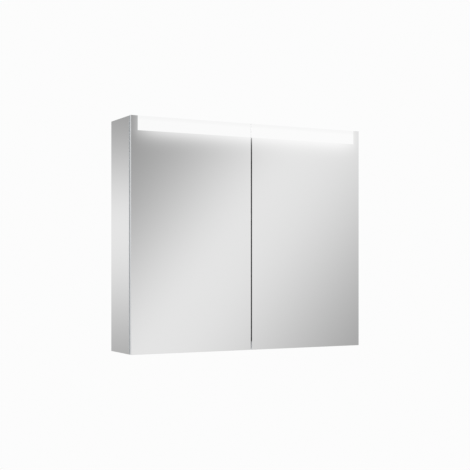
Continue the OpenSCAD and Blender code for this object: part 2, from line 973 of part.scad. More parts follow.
module door_right_front_glass() {
    door_glass(0);
}

module door_right_back_glass() {
    door_glass(1);
}

module door_right_hinge_rail() {
    hinge_rail_profile();
}

module door_right_striker() {
    striker();
}

module door_left_front_glass() {
    mirror([1, 0, 0])
        door_glass(0);
}

module door_left_back_glass() {
    mirror([1, 0, 0])
        door_glass(1);
}

module door_left_hinge_rail() {
    mirror([1, 0, 0])
        hinge_rail_profile();
}

module door_left_striker() {
    mirror([1, 0, 0])
        striker();
}

side_left();
side_right();
side_mirror_left();
side_mirror_right();
top_panel();
bottom_panel();
bottom_rail();
back_mirror();
back_cover();
service_cover();
hinge_socket_left();
hinge_socket_right();
hinge_end_plates();
hinge_bearings();
light_housing();
light_diffuser();
light_end_caps();
led_board();
led_chips();
led_driver();
terminal_block();
cable_grommet();
power_box();
power_faceplate();
socket_insert();
socket_contacts();
switch_frame();
switch_rocker();
shelf_lower();
shelf_upper();
shelf_supports();
shelf_pads();
magnet_housings();
magnets();
door_buffers();
wall_rail();
hanging_hooks();
hook_screws();
wall_spacers();
corner_dowels();
corner_brackets();
bracket_screws();
door_left_front_glass();
door_left_back_glass();
door_left_hinge_rail();
door_left_striker();
door_right_front_glass();
door_right_back_glass();
door_right_hinge_rail();
door_right_striker();
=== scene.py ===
# %% [markdown]
# # A bathroom mirror cabinet with two doors
#
# Two doors of mirror glass cover the cabinet's whole front, its sides are faced with mirror glass
# too, and a band of light shines through a satin strip along the top of both doors. The shapes
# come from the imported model, so most of this lesson is about finishes. Sizes are in metres.

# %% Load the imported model
import math

import bmesh
import bpy
import json
import numpy as np
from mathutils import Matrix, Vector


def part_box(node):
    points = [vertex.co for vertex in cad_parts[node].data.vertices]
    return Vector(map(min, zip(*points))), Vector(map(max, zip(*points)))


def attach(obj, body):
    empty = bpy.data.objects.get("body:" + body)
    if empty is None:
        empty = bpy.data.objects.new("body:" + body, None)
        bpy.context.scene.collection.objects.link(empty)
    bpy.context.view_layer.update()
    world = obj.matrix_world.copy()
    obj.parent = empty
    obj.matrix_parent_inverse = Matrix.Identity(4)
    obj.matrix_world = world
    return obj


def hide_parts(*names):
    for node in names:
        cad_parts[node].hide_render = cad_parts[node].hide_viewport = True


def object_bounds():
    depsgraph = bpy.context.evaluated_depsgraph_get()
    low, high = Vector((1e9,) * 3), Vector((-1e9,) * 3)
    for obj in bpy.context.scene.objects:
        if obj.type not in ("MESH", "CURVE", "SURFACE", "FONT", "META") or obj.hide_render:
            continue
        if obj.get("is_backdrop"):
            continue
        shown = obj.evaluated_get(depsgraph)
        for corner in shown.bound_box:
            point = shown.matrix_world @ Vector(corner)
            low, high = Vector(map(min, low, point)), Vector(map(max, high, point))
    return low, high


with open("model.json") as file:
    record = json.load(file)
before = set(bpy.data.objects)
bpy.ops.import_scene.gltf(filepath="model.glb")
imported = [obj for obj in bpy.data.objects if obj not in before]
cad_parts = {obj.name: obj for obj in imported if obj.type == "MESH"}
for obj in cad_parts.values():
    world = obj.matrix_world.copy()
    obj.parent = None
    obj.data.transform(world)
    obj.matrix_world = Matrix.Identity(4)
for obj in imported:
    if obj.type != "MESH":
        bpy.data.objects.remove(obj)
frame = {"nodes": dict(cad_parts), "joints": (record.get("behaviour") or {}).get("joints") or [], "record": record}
cad_low, cad_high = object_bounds()
print("size:", [round(high - low, 4) for low, high in zip(cad_low, cad_high)])

# %% [markdown]
# ## Camera
#
# The cabinet is seen from the front left, a little below its middle. A camera tilted up would
# frame it too, but its upright edges would lean. So the camera is level, and a small upward shift
# of the lens does the same. The place is worked out from the middle of the door faces.

# %% Place the camera
CAMERA_LEFT = 1.5271
CAMERA_IN_FRONT = 2.7991
CAMERA_BELOW = 0.0898
CAMERA_TURN = 27.70
CAMERA_LENS = 78.91
CAMERA_SHIFT = 0.0653
CAMERA_CLIP = 0.05

middle_z = (cad_low.z + cad_high.z) / 2
camera_data = bpy.data.cameras.new("camera")
camera_data.lens = CAMERA_LENS
camera_data.shift_y = CAMERA_SHIFT
camera_data.dof.use_dof = False
camera_data.clip_start = CAMERA_CLIP
camera = bpy.data.objects.new("camera", camera_data)
camera.location = (-CAMERA_LEFT, cad_low.y - CAMERA_IN_FRONT, middle_z - CAMERA_BELOW)
camera.rotation_euler = (math.radians(90), 0, -math.radians(CAMERA_TURN))
bpy.context.scene.collection.objects.link(camera)
bpy.context.scene.camera = camera
print("camera at", [round(c, 3) for c in camera.location])

# %% [markdown]
# ## A short way to write nodes
#
# A material is a tree of nodes. Blender's own calls take several lines for each node, and the
# patterns here have many. So this small class adds a node and fills its inputs in one call: a
# number or colour is set on the input, and a socket of another node is linked to it. The sums that
# the patterns need most often have a name of their own.

# %% Write nodes in a few words
class Net:
    """A node tree, with short calls that add a node and give back its output."""

    def __init__(self, tree):
        self.tree = tree
        tree.nodes.clear()

    def put(self, value, socket):
        """Links a socket, or sets a number or a colour."""
        if isinstance(value, bpy.types.NodeSocket):
            self.tree.links.new(value, socket)
        elif socket.type == "RGBA":
            socket.default_value = (*value, 1.0)
        else:
            socket.default_value = value

    def node(self, kind, inputs=None, **settings):
        """A new node, with its settings and inputs by name or number."""
        made = self.tree.nodes.new(kind)
        for name, value in settings.items():
            setattr(made, name, value)
        for name, value in (inputs or {}).items():
            self.put(value, made.inputs[name])
        return made

    def math(self, operation, *values):
        """The output of a Math node."""
        made = self.tree.nodes.new("ShaderNodeMath")
        made.operation = operation
        for value, socket in zip(values, made.inputs):
            self.put(value, socket)
        return made.outputs[0]

    def times(self, *values):
        """The product of all the values."""
        product = values[0]
        for value in values[1:]:
            product = self.math("MULTIPLY", product, value)
        return product

    def rest(self, value):
        """1 - value."""
        return self.math("SUBTRACT", 1.0, value)

    def between(self, factor, first, second):
        """Number between first (factor 0) and second (factor 1)."""
        return self.math("MULTIPLY_ADD", factor, self.math("SUBTRACT", second, first), first)

    def spread(self, value, low, high, to_low=0.0, to_high=1.0, smooth=False):
        """Carries value from the range low..high to the range to_low..to_high, and no further."""
        made = self.node("ShaderNodeMapRange", {
            "Value": value, "From Min": low, "From Max": high, "To Min": to_low, "To Max": to_high,
        }, interpolation_type="SMOOTHSTEP" if smooth else "LINEAR")
        return made.outputs["Result"]

    def blend(self, factor, first, second):
        """Colour between first (factor 0) and second (factor 1).

        A Mix node's colours are its inputs 6 and 7 and its output 2.
        """
        made = self.node("ShaderNodeMix", data_type="RGBA")
        for value, place in zip((factor, first, second), (0, 6, 7)):
            self.put(value, made.inputs[place])
        return made.outputs[2]

    def split(self, vector):
        """The x, y and z of a vector."""
        return self.node("ShaderNodeSeparateXYZ", {"Vector": vector}).outputs

    def bell(self, value, centre, below, above):
        """exp(-((value - centre) / width)^2), with one width below the centre and one above it."""
        off = self.math("SUBTRACT", value, centre)
        side = self.math("GREATER_THAN", off, 0.0)
        width = self.math("MULTIPLY_ADD", side, above - below, below)
        ratio = self.math("DIVIDE", off, width)
        return self.math("EXPONENT", self.times(ratio, ratio, -1.0))


print("node trees are written with", Net.__name__)

# %% [markdown]
# ## The studio
#
# Mirror glass has no colour of its own: it shows the room. So the look of this cabinet is mostly
# made here. The room is a studio with long soft lamps that lean to one side, seen in the doors as
# a slanting glow, and a level band of light behind and beside the cabinet, seen in its sides. Real
# lamps or a picture of a studio could be mirrored too, but they bring grain and hard borders. Each
# lamp is a bell curve of the direction instead, as a soft lamp fades like that, and three plain
# numbers move it. Towards straight up and straight down, all of it fades into one plain light.
#
# Only mirrors see these lamps. The camera and the clear glass see a plain pale backdrop, through
# the light path, and matt surfaces are lit by an even room.

# %% Light the studio
BACKDROP = 0.973
ROOM_LIGHT = 0.78
FRONT_GLOW = 0.890
BACK_GLOW = 0.878
LAMP_LEAN = 0.8314
LAMP_TURN = 0.5009
FRONT_FLOOR = 0.310
BACK_FLOOR = 0.343
STEEP_LIGHT = 0.62
LAMPS = [(-1.30, 0.80, 0.25), (-0.62, 0.22, 0.18), (0.0, 0.1521, 0.2325), (0.68, 0.18, 0.80)]
SIDE_LAMP = (0.0354, 0.1159, 0.0859)
BACK_TO_FRONT = (-0.2, -0.6)
LEVEL_TO_STEEP = (0.16, 0.60)
LEAST_AHEAD = 0.05
LEAST_LEVEL = 0.01

world = bpy.data.worlds.new("studio")
bpy.context.scene.world = world
world.use_nodes = True
net = Net(world.node_tree)
direction = net.node("ShaderNodeTexCoord").outputs["Generated"]
dx, dy, dz = net.split(direction)
ahead = net.math("MAXIMUM", net.math("MULTIPLY", dy, -1.0), LEAST_AHEAD)
across = net.math("DIVIDE", dx, ahead)
up = net.math("DIVIDE", dz, ahead)
slant = net.math("SUBTRACT", net.math("MULTIPLY_ADD", up, -LAMP_LEAN, across), LAMP_TURN)
front = 0.0
for centre, below, above in LAMPS:
    front = net.math("ADD", net.bell(slant, centre, below, above), front)
front = net.math("MULTIPLY_ADD", front, FRONT_GLOW * (1 - FRONT_FLOOR), FRONT_GLOW * FRONT_FLOOR)
level = net.math("SQRT", net.math("ADD", net.times(dx, dx), net.times(dy, dy)))
rise = net.math("DIVIDE", dz, net.math("MAXIMUM", level, LEAST_LEVEL))
back = net.bell(rise, *SIDE_LAMP)
back = net.math("MULTIPLY_ADD", back, BACK_GLOW * (1 - BACK_FLOOR), BACK_GLOW * BACK_FLOOR)
facing = net.spread(dy, *BACK_TO_FRONT, smooth=True)
seen = net.between(facing, back, front)
steep = net.spread(net.math("ABSOLUTE", rise), *LEVEL_TO_STEEP, smooth=True)
seen = net.between(steep, seen, STEEP_LIGHT)
path = net.node("ShaderNodeLightPath").outputs
plain = net.math("MAXIMUM", path["Is Camera Ray"], path["Is Transmission Ray"])
light = net.between(path["Is Glossy Ray"], ROOM_LIGHT, seen)
light = net.between(plain, light, BACKDROP)
background = net.node("ShaderNodeBackground", {"Color": light})
net.node("ShaderNodeOutputWorld", {"Surface": background.outputs[0]})
print("world nodes:", len(net.tree.nodes))

# %% [markdown]
# One large soft lamp gives the matt parts a little shape. It is hidden from the mirrors, which
# would show it as a bare square of light.

# %% Hang one soft lamp
SOFT_SIZE = 2.4
SOFT_POWER = 26.0
SOFT_PLACE = (-1.8, -2.6, 1.6)
SOFT_TILT = 58
SOFT_TURN = 35

lamp_data = bpy.data.lights.new("soft_lamp", "AREA")
lamp_data.size = SOFT_SIZE
lamp_data.energy = SOFT_POWER
lamp = bpy.data.objects.new("soft_lamp", lamp_data)
lamp.location = SOFT_PLACE
lamp.rotation_euler = (math.radians(SOFT_TILT), 0, -math.radians(SOFT_TURN))
lamp.visible_glossy = False
bpy.context.scene.collection.objects.link(lamp)
print("lamp power:", SOFT_POWER)

# %% [markdown]
# A pale floor lies well below the cabinet, as in a studio where the cabinet hangs at head height.
# It has the backdrop's colour to the camera and is clear to mirrors, so neither shows its edge.
# It is clear from below too, so that the underside of the cabinet can be looked at.

# %% Lay the floor
FLOOR_Z = -2.0
FLOOR_HALF = 2.5
FLOOR_COLOUR = (0.8, 0.8, 0.8)

floor_mesh = bpy.data.meshes.new("floor")
corners = np.array([(-1, -1), (1, -1), (1, 1), (-1, 1)]) * FLOOR_HALF
floor_mesh.from_pydata([(x, y, FLOOR_Z) for x, y in corners], [], [(0, 1, 2, 3)])
floor = bpy.data.objects.new("floor", floor_mesh)
bpy.context.scene.collection.objects.link(floor)
floor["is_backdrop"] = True
floor_paint = bpy.data.materials.new("pale_floor")
floor_paint.use_nodes = True
net = Net(floor_paint.node_tree)
path = net.node("ShaderNodeLightPath").outputs
matt = net.node("ShaderNodeBsdfDiffuse", {"Color": FLOOR_COLOUR}).outputs[0]
pale = net.node("ShaderNodeEmission", {"Color": (BACKDROP,) * 3}).outputs[0]
clear = net.node("ShaderNodeBsdfTransparent").outputs[0]
by_eye = net.node("ShaderNodeMixShader", {0: path["Is Camera Ray"], 1: matt, 2: pale}).outputs[0]
underside = net.node("ShaderNodeNewGeometry").outputs["Backfacing"]
unseen = net.math("MAXIMUM", path["Is Glossy Ray"], underside)
shown = net.node("ShaderNodeMixShader", {0: unseen, 1: by_eye, 2: clear}).outputs[0]
net.node("ShaderNodeOutputMaterial", {"Surface": shown})
floor_mesh.materials.append(floor_paint)
print("floor at", FLOOR_Z)

# %% [markdown]
# ## Finishes
#
# Each finish starts from the colour that the model's record gives for its slot. The helper opens
# a new material with one Principled shader, and hands back the coordinates of the object, in
# metres, and its normals, so that every pattern stays fixed to the cabinet.
#
# Most of a noise lies in its middle, so only that part is spread over the range that is wanted.
# Each shader also keeps a plain roughness, for a program that can't follow the pattern.

# %% Start a finish
SLOTS = {entry["slot"]: entry for entry in frame["record"]["materials"]}
NOISE_MIDDLE = (0.3, 0.7)
TONE_MIDDLE = (0.35, 0.65)
finishes = {}


class Finish(Net):
    """The node tree of one slot's material, with its shader and its coordinates."""

    def __init__(self, slot, **constants):
        material = bpy.data.materials.new(slot)
        material.use_nodes = True
        super().__init__(material.node_tree)
        self.shader = self.node("ShaderNodeBsdfPrincipled")
        self.node("ShaderNodeOutputMaterial", {"Surface": self.shader.outputs[0]})
        coordinates = self.node("ShaderNodeTexCoord").outputs
        self.place, self.normal = coordinates["Object"], coordinates["Normal"]
        self.colour = tuple(SLOTS[slot]["base_color"][:3])
        self.set(Base_Color=self.colour, **constants)
        finishes[slot] = material

    def set(self, **inputs):
        """Fills the shader's inputs, with _ in place of each space in their names."""
        for name, value in inputs.items():
            self.put(value, self.shader.inputs[name.replace("_", " ")])

    def noise(self, scale, stretch=(1, 1, 1), detail=2.0):
        """Noise of about scale grains to the metre, drawn out where the stretch is small."""
        drawn = self.node("ShaderNodeMapping", {"Vector": self.place, "Scale": stretch}).outputs[0]
        inputs = {"Vector": drawn, "Scale": scale, "Detail": detail}
        return self.node("ShaderNodeTexNoise", inputs).outputs["Fac"]

    def vary(self, noise, low, high):
        """A number that wanders between low and high with a noise."""
        return self.spread(noise, *NOISE_MIDDLE, low, high)

    def bump(self, height, depth):
        """Raises the surface by depth metres where height is 1."""
        made = self.node("ShaderNodeBump", {"Height": height, "Distance": depth, "Strength": 1.0})
        self.put(made.outputs[0], self.shader.inputs["Normal"])

    def shade(self, factor, amount):
        """The slot's colour, darker by amount where factor is 1."""
        darker = tuple(c * (1 - amount) for c in self.colour)
        return self.blend(factor, self.colour, darker)

    def tone(self, noise, amount):
        """The slot's colour, darker by up to amount with a noise."""
        return self.shade(self.spread(noise, *TONE_MIDDLE), amount)


print("slots:", len(SLOTS))

# %% [markdown]
# ### Silvered glass
#
# A mirror is glass with silver on its back. A clear pane over a sheet of silver could be modelled,
# but light would pass through the pane twice at each reflection, and the eye sees the same. From
# the front it is one bright, almost perfectly smooth surface, so it is a metal with very low
# roughness. The edges are ground and polished glass, pale and a little blue-grey, with fine lines
# from the grinding wheel. The object normal tells the face from the edge.
#
# The back of the cabinet and the insides of the doors are mirrors that face each other. Light
# runs to and fro between them more often than a render follows it, and where the render stops,
# the mirror would turn black. So after a few reflections the glass glows with a painted dim grey
# light, in place of the reflections that such a row of mirrors fades into.

# %% Make mirror glass
SILVER = (0.871, 0.871, 0.871)
GLASS_EDGE = (0.84, 0.85, 0.865)
EDGE_TO_FACE = (0.45, 0.75)
SMEAR_SCALE = 9.0
FACE_ROUGH = (0.012, 0.030)
GRIND_SCALE = 900.0
GRIND_STRETCH = (1, 1, 0.04)
GRIND_DEPTH = 4e-5
EDGE_ROUGH = (0.16, 0.30)
LAST_REFLECTION = 4
TUNNEL_LIGHT = 0.20


def mirror_glass(slot, axis):
    """Silvered glass whose large faces look along one axis, given as 0, 1 or 2.

    Gives back the finish, how much a point is on a face, and the painted dim grey glow that stands in for late
    reflections.
    """
    glass = Finish(slot)
    across = glass.math("ABSOLUTE", glass.split(glass.normal)[axis])
    face = glass.spread(across, *EDGE_TO_FACE)
    smear = glass.noise(SMEAR_SCALE, detail=3.0)
    grind = glass.noise(GRIND_SCALE, stretch=GRIND_STRETCH)
    # Painted light: past the last followed reflection the mirror face glows a dim grey by itself.
    reflections = glass.node("ShaderNodeLightPath").outputs["Glossy Depth"]
    late = glass.math("GREATER_THAN", reflections, LAST_REFLECTION - 0.5)
    painted_tunnel_glow = glass.times(late, face, TUNNEL_LIGHT)
    edge_rough, face_rough = glass.vary(grind, *EDGE_ROUGH), glass.vary(smear, *FACE_ROUGH)
    glass.set(
        Metallic=face,
        Roughness=glass.between(face, edge_rough, face_rough),
        Base_Color=glass.blend(face, GLASS_EDGE, SILVER),
        Emission_Color=(1.0, 1.0, 1.0),
        Emission_Strength=painted_tunnel_glow,
    )
    glass.bump(glass.times(grind, glass.rest(face)), GRIND_DEPTH)
    return glass, face, painted_tunnel_glow


mirror_glass("side_mirror", 0)
mirror_glass("mirror_lining", 1)
print("mirror finishes:", sorted(finishes))

# %% [markdown]
# ### The doors' front glass, with its band of light
#
# Along the top of each door the silver is etched away to a satin strip, where the lamp in the
# cabinet shines through. That light is painted on the door glass as a glow of its own, which
# stays the same when a door is opened. The strip could be a piece laid on the glass, but the light
# runs on below it without an edge, so both are drawn by the place in the glass. The strip stops
# short of the cabinet's sides. Under the strip a soft halo of light is painted on the mirror, for
# the light that creeps down inside the glass, and it fades like exp(-(d / reach) ^ power). Towards
# the strip's end the painted halo fades out in an S-shaped curve, and it is painted a little
# stronger to the right.

# %% Shape the band's painted glow and its halo
BAND_HEIGHT = 0.0436
BAND_MARGIN = 0.021
HALO = 0.78
HALO_REACH = 0.0265
HALO_SLOPE = 0.5
HALO_POWER = 1.4
HALO_END = 0.024
HALO_END_SHIFT = 0.006
BLUR = 0.0006

glass, face, painted_tunnel_glow = mirror_glass("door_mirror", 1)
x, y, z = glass.split(glass.place)


def past(value, place):
    """0 before the place and 1 past it, with a soft step between."""
    return glass.spread(value, place - BLUR, place + BLUR)


band_low = cad_high.z - BAND_HEIGHT
band_end = cad_high.x - BAND_MARGIN
inward = glass.math("SUBTRACT", band_end, glass.math("ABSOLUTE", x))
below = glass.math("MAXIMUM", glass.math("SUBTRACT", band_low, z), 0.0)
beside = glass.math("MAXIMUM", glass.math("MULTIPLY", inward, -1.0), 0.0)
strip = glass.times(past(z, band_low), past(inward, 0.0))
# Painted halo: a glow painted on the mirror under the strip, a little stronger to the right.
sink = glass.math("POWER", glass.math("DIVIDE", below, HALO_REACH), HALO_POWER)
sink = glass.math("EXPONENT", glass.math("MULTIPLY", sink, -1.0))
end = glass.math("DIVIDE", glass.math("SUBTRACT", HALO_END_SHIFT, inward), HALO_END)
end = glass.math("DIVIDE", 1.0, glass.math("ADD", glass.math("EXPONENT", end), 1.0))
end = glass.times(end, glass.math("EXPONENT", glass.math("DIVIDE", beside, -HALO_END)))
slope = glass.math("MULTIPLY_ADD", x, HALO * HALO_SLOPE, HALO)
painted_halo = glass.times(sink, end, slope)
print("light band:", BAND_HEIGHT, "high, halo:", HALO_REACH, "deep")

# %% [markdown]
# The meeting edges of the two doors are painted nearly black down to the rail, a painted shade
# for the shadow deep in the narrow gap, so that the gap between them reads as one thin dark line.
# It is as thin as paint, so it is a finish and not a piece.
# Beside the strip a glow is painted on the edges too, for the light that glass leads to its
# edges, and that painted glow fades below the strip like exp(-d / reach).

# %% Paint shade and glow on the meeting edges
MEETING_HALF = 0.004
GAP_SHADE_COLOUR = (0.03, 0.03, 0.03)
EDGE_GLOW = 0.50
EDGE_REACH = 0.0145
EDGE_STRIP_GLOW = 0.99
EDGE_SHEEN = 0.1

rail_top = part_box("bottom_rail")[1].z
meeting = glass.spread(glass.math("ABSOLUTE", x), MEETING_HALF, MEETING_HALF - BLUR)
# Painted shade: the meeting edges are nearly black above the rail, for the shadow in the gap.
painted_gap_shade = glass.times(meeting, past(z, rail_top))
edge_colour = glass.blend(painted_gap_shade, GLASS_EDGE, GAP_SHADE_COLOUR)
# Painted light: the meeting edges glow beside the strip and fade below it.
painted_edge_glow = glass.times(glass.math("EXPONENT", glass.math("DIVIDE", below, -EDGE_REACH)), EDGE_GLOW)
painted_edge_glow = glass.math("MAXIMUM", painted_edge_glow, glass.times(strip, EDGE_STRIP_GLOW))
painted_edge_glow = glass.times(painted_edge_glow, glass.times(glass.rest(face), meeting))
print("seal above", round(rail_top, 4))

# %% [markdown]
# Now the parts meet in one shader. Where the glow is painted, the silver is missing, so the
# mirror colour fades out as the painted glow comes in. The inner face of each door is a mirror as
# well, with the same strip in satin glass for the lamp to shine through, and the depth in the door
# tells it from the front. The painted glow of the strip is a little darker along its top, a painted
# shade there.

# %% Put the door glass together
INNER_DEPTH = 0.0045
SATIN = (0.80, 0.81, 0.81)
SATIN_ROUGH = 0.5
SATIN_REFLECTION = (0.02, 0.02, 0.02)
BAND_LIGHT = 0.945
BAND_TOP_LIGHT = 0.915
BAND_TOP_FROM = 0.014
BAND_TOP_TO = 0.006

inner = past(y, cad_low.y + INNER_DEPTH)
satin = glass.times(strip, face, inner)
shown = glass.times(face, glass.rest(inner))
# Painted glow: the strip and its halo shine on the door glass itself, with or without the lamp behind.
painted_glow = glass.math("MULTIPLY_ADD", glass.math("MAXIMUM", strip, painted_halo), shown, painted_edge_glow)
# The painted glow is a little darker along the top of the strip, a painted shade.
band_light = glass.spread(z, cad_high.z - BAND_TOP_FROM, cad_high.z - BAND_TOP_TO,
                          BAND_LIGHT, BAND_TOP_LIGHT)
silver = glass.blend(painted_glow, SILVER, SATIN_REFLECTION)
silver = glass.blend(satin, silver, SATIN)
mirror_rough = glass.shader.inputs["Roughness"].links[0].from_socket
glass.set(
    Base_Color=glass.blend(face, edge_colour, silver),
    Metallic=glass.times(face, glass.rest(satin)),
    Roughness=glass.math("MULTIPLY_ADD", satin, SATIN_ROUGH, mirror_rough),
    Emission_Strength=glass.math("MULTIPLY_ADD", painted_glow, band_light, painted_tunnel_glow),
    Specular_IOR_Level=EDGE_SHEEN,
)
print("door glass nodes:", len(glass.tree.nodes))

# %% [markdown]
# ### Anodised and rolled metal
#
# Extruded profiles carry faint lines along their length from the die, and anodising leaves a fine,
# even grain over them. A picture of brushed metal would need a map for each profile. Noise drawn
# out along the profile needs none, so one helper makes them all: the streaks change the roughness
# and lift the surface by a few micrometres.

# %% Make metals
METAL_GRAIN = 2600.0
STREAK_SCALE = 700.0
STREAK_STRETCH = 0.004
STREAK_RELIEF = 0.6


def metal(slot, along, rough, streak=0.04, depth=3e-6, tone=0.03):
    """Metal with streaks along the axis numbered along, and a fine grain."""
    made = Finish(slot, Metallic=1.0, Roughness=rough)
    stretch = [1.0, 1.0, 1.0]
    stretch[along] = STREAK_STRETCH
    lines = made.noise(STREAK_SCALE, stretch=stretch, detail=3.0)
    fine = made.noise(METAL_GRAIN)
    made.set(Roughness=made.vary(lines, rough - streak, rough + streak))
    made.set(Base_Color=made.tone(lines, tone))
    made.bump(made.math("MULTIPLY_ADD", lines, STREAK_RELIEF, fine), depth)
    return made


metal("satin_aluminium", along=2, rough=0.36)
metal("panel_aluminium", along=0, rough=0.36)
metal("profile_aluminium", along=0, rough=0.40)
metal("hinge_aluminium", along=2, rough=0.42, tone=0.16)
metal("sheet_aluminium", along=0, rough=0.46, streak=0.06, tone=0.04)
metal("nickel", along=0, rough=0.14, depth=1e-6)
metal("brass", along=1, rough=0.24, tone=0.10)
metal("magnet_steel", along=0, rough=0.30)
print("extruded and rolled metals made")

# %% [markdown]
# Zinc plating grows in small flakes, each a little lighter or darker. Noise is too soft for their
# crisp borders, so the flakes are the cells of a Voronoi pattern.

# %% Make zinc-plated steel
FLAKE_SCALE = 220.0
FLAKE_TONE = 0.14
FLAKE_ROUGH = (0.30, 0.46)

zinc = metal("zinc_steel", along=0, rough=0.38)
cells = zinc.node("ShaderNodeTexVoronoi", {"Vector": zinc.place, "Scale": FLAKE_SCALE})
flake = zinc.split(cells.outputs["Color"])[0]
zinc.set(
    Base_Color=zinc.shade(flake, FLAKE_TONE),
    Roughness=zinc.spread(flake, 0.0, 1.0, *FLAKE_ROUGH),
)
print("flakes to the metre:", FLAKE_SCALE)

# %% [markdown]
# ### Plastics and rubber
#
# Moulded plastic has the fine spark texture of its mould, and it is a little glossy over that.
# Rubber is rougher and more mottled. Clear silicone lets some light through. Such a texture is
# much too fine to model, so it is a bump, no deeper than the real one.

# %% Make plastics and rubber
MOTTLE_SCALE = 40.0
ROUGH_SWING = 0.06


def moulded(slot, rough, grain, depth, tone=0.03, **constants):
    """Plastic or rubber with a fine moulded grain."""
    made = Finish(slot, Roughness=rough, **constants)
    fine = made.noise(grain, detail=3.0)
    mottle = made.noise(MOTTLE_SCALE)
    made.set(Roughness=made.vary(fine, rough - ROUGH_SWING, rough + ROUGH_SWING))
    made.set(Base_Color=made.tone(mottle, tone))
    made.bump(fine, depth)


moulded("white_plastic", rough=0.38, grain=1800.0, depth=6e-6)
moulded("switch_plastic", rough=0.22, grain=2500.0, depth=2e-6)
moulded("grey_rubber", rough=0.72, grain=1500.0, depth=2e-5, tone=0.15)
moulded("clear_silicone", rough=0.16, grain=1200.0, depth=2e-6, Transmission_Weight=0.15, IOR=1.41)
moulded("circuit_board", rough=0.45, grain=900.0, depth=8e-6)
moulded("led_phosphor", rough=0.55, grain=3000.0, depth=1e-5)
print("plastics made")

# %% [markdown]
# ### Beech
#
# The dowels are turned from beech. Its grain runs along them in fine lines, with the short brown
# flecks of the wood's rays between them. A board would show the rings of the trunk, but a dowel is
# too thin for that, so noise drawn out along it is enough.

# %% Make the beech
BEECH_ROUGH = 0.62
GRAIN_SCALE = 900.0
GRAIN_STRETCH = (0.03, 1, 1)
GRAIN_DARK = (0.4, 0.7)
GRAIN_DEPTH = 2e-5
FLECK_SCALE = 1400.0
FLECK_STRETCH = (0.15, 1, 0.5)
FLECK_DARK = (0.62, 0.70)
BEECH_TONE = 0.30

beech = Finish("beech", Roughness=BEECH_ROUGH)
grain = beech.noise(GRAIN_SCALE, stretch=GRAIN_STRETCH, detail=3.0)
flecks = beech.noise(FLECK_SCALE, stretch=FLECK_STRETCH)
dark = beech.math("MAXIMUM", beech.spread(grain, *GRAIN_DARK), beech.spread(flecks, *FLECK_DARK))
beech.set(Base_Color=beech.shade(dark, BEECH_TONE))
beech.bump(grain, GRAIN_DEPTH)
print("grain lines to the metre:", GRAIN_SCALE)

# %% [markdown]
# ### Opal acrylic and clear glass
#
# The lamp's cover is milky acrylic with a row of chips behind it. Light could be scattered inside
# it, but that renders slowly and with grain. So the cover shines by itself, evenly and not too
# brightly, with a faint wave where the chips are.

# %% Make opal acrylic
CHIP_PITCH = 0.020
OPAL_COLOUR = (1.0, 0.995, 0.98)
OPAL_GLOW = (0.09, 0.12)
OPAL_WAVE = 0.015
OPAL_ROUGH = (0.30, 0.40)
RIPPLE_SCALE = 60.0

opal = Finish("opal_acrylic", Roughness=sum(OPAL_ROUGH) / 2)
ripple = opal.noise(RIPPLE_SCALE)
turns = opal.math("MULTIPLY", opal.split(opal.place)[0], 2 * math.pi / CHIP_PITCH)
glow = opal.vary(ripple, *OPAL_GLOW)
opal.set(
    Emission_Color=OPAL_COLOUR,
    Emission_Strength=opal.math("MULTIPLY_ADD", opal.math("COSINE", turns), OPAL_WAVE, glow),
    Roughness=opal.vary(ripple, *OPAL_ROUGH),
)
print("chips every", CHIP_PITCH)

# %% [markdown]
# The shelves are clear float glass. Light goes through their faces, but along an edge the eye
# looks into the whole pane, where the glass is green. Absorption inside the glass could give both,
# but it is hard to tune, so the normal tells the edge from the face and each has its own colour.

# %% Make shelf glass
SHELF_TINT = (0.955, 0.985, 0.975)
SHELF_EDGE = (0.38, 0.63, 0.54)
SHELF_EDGE_CLEAR = 0.45
SHELF_EDGE_ROUGH = 0.12
ROUND_TO_FLAT = (0.75, 0.98)

shelf = Finish("shelf_glass", IOR=1.5)
flat = shelf.spread(shelf.math("ABSOLUTE", shelf.split(shelf.normal)[2]), *ROUND_TO_FLAT)
shelf.set(
    Base_Color=shelf.blend(flat, SHELF_EDGE, SHELF_TINT),
    Transmission_Weight=shelf.spread(flat, 0.0, 1.0, SHELF_EDGE_CLEAR, 1.0),
    Roughness=shelf.spread(flat, 0.0, 1.0, SHELF_EDGE_ROUGH, 0.0),
)
print("finishes:", len(finishes))

# %% [markdown]
# ## Small fittings as surfaces
#
# Panels and profiles are flat or extruded, and the model's own meshes show them well. The small
# fittings are turned, moulded or pressed, and their soft edges catch the light, so they are made
# again here. A turned part could be made with the Spin tool. Here it is a surface of two
# parameters, the height along its axis and the angle round it, because the radius may then change
# with both, which also gives a thread, a flute or a hexagon.

# %% Turn a part, as on a lathe
TURN_STEPS = 48
ARC_STEPS = 6
ANGLE = np.arange(TURN_STEPS) * 2 * math.pi / TURN_STEPS


def turned(radius, height, centre, axis, sign=1):
    """Rings of points: centre + sign * height along the axis + radius * (cos, sin) of the angle.

    radius has one row for each height, and one column or one for each angle.
    """
    rings = np.empty((len(height), TURN_STEPS, 3))
    radius = np.broadcast_to(np.reshape(radius, (len(height), -1)), rings.shape[:2])
    across = [k for k in range(3) if k != axis]
    rings[..., across[0]] = centre[across[0]] + radius * np.cos(ANGLE)
    rings[..., across[1]] = centre[across[1]] + radius * np.sin(ANGLE)
    rings[..., axis] = centre[axis] + sign * np.reshape(height, (-1, 1))
    return rings


def arc(across, height, radius, start, end):
    """Profile points on a circle round (across, height), between two angles in degrees."""
    turn = np.radians(np.linspace(start, end, ARC_STEPS + 1))
    return np.stack([across + radius * np.cos(turn), height + radius * np.sin(turn)], axis=1)


print("columns of a turned part:", TURN_STEPS)

# %% [markdown]
# Plates, tubs and frames are the same idea with a rounded rectangle in place of the circle: a
# profile is carried round the outline, and each of its steps says how far in from the outline, and
# how high, the next ring lies. A box with a bevel would do for a plate, but not for the wall of a
# tub or the rim of a frame.

# %% Carry a profile round a rounded rectangle
CORNER_STEPS = 8


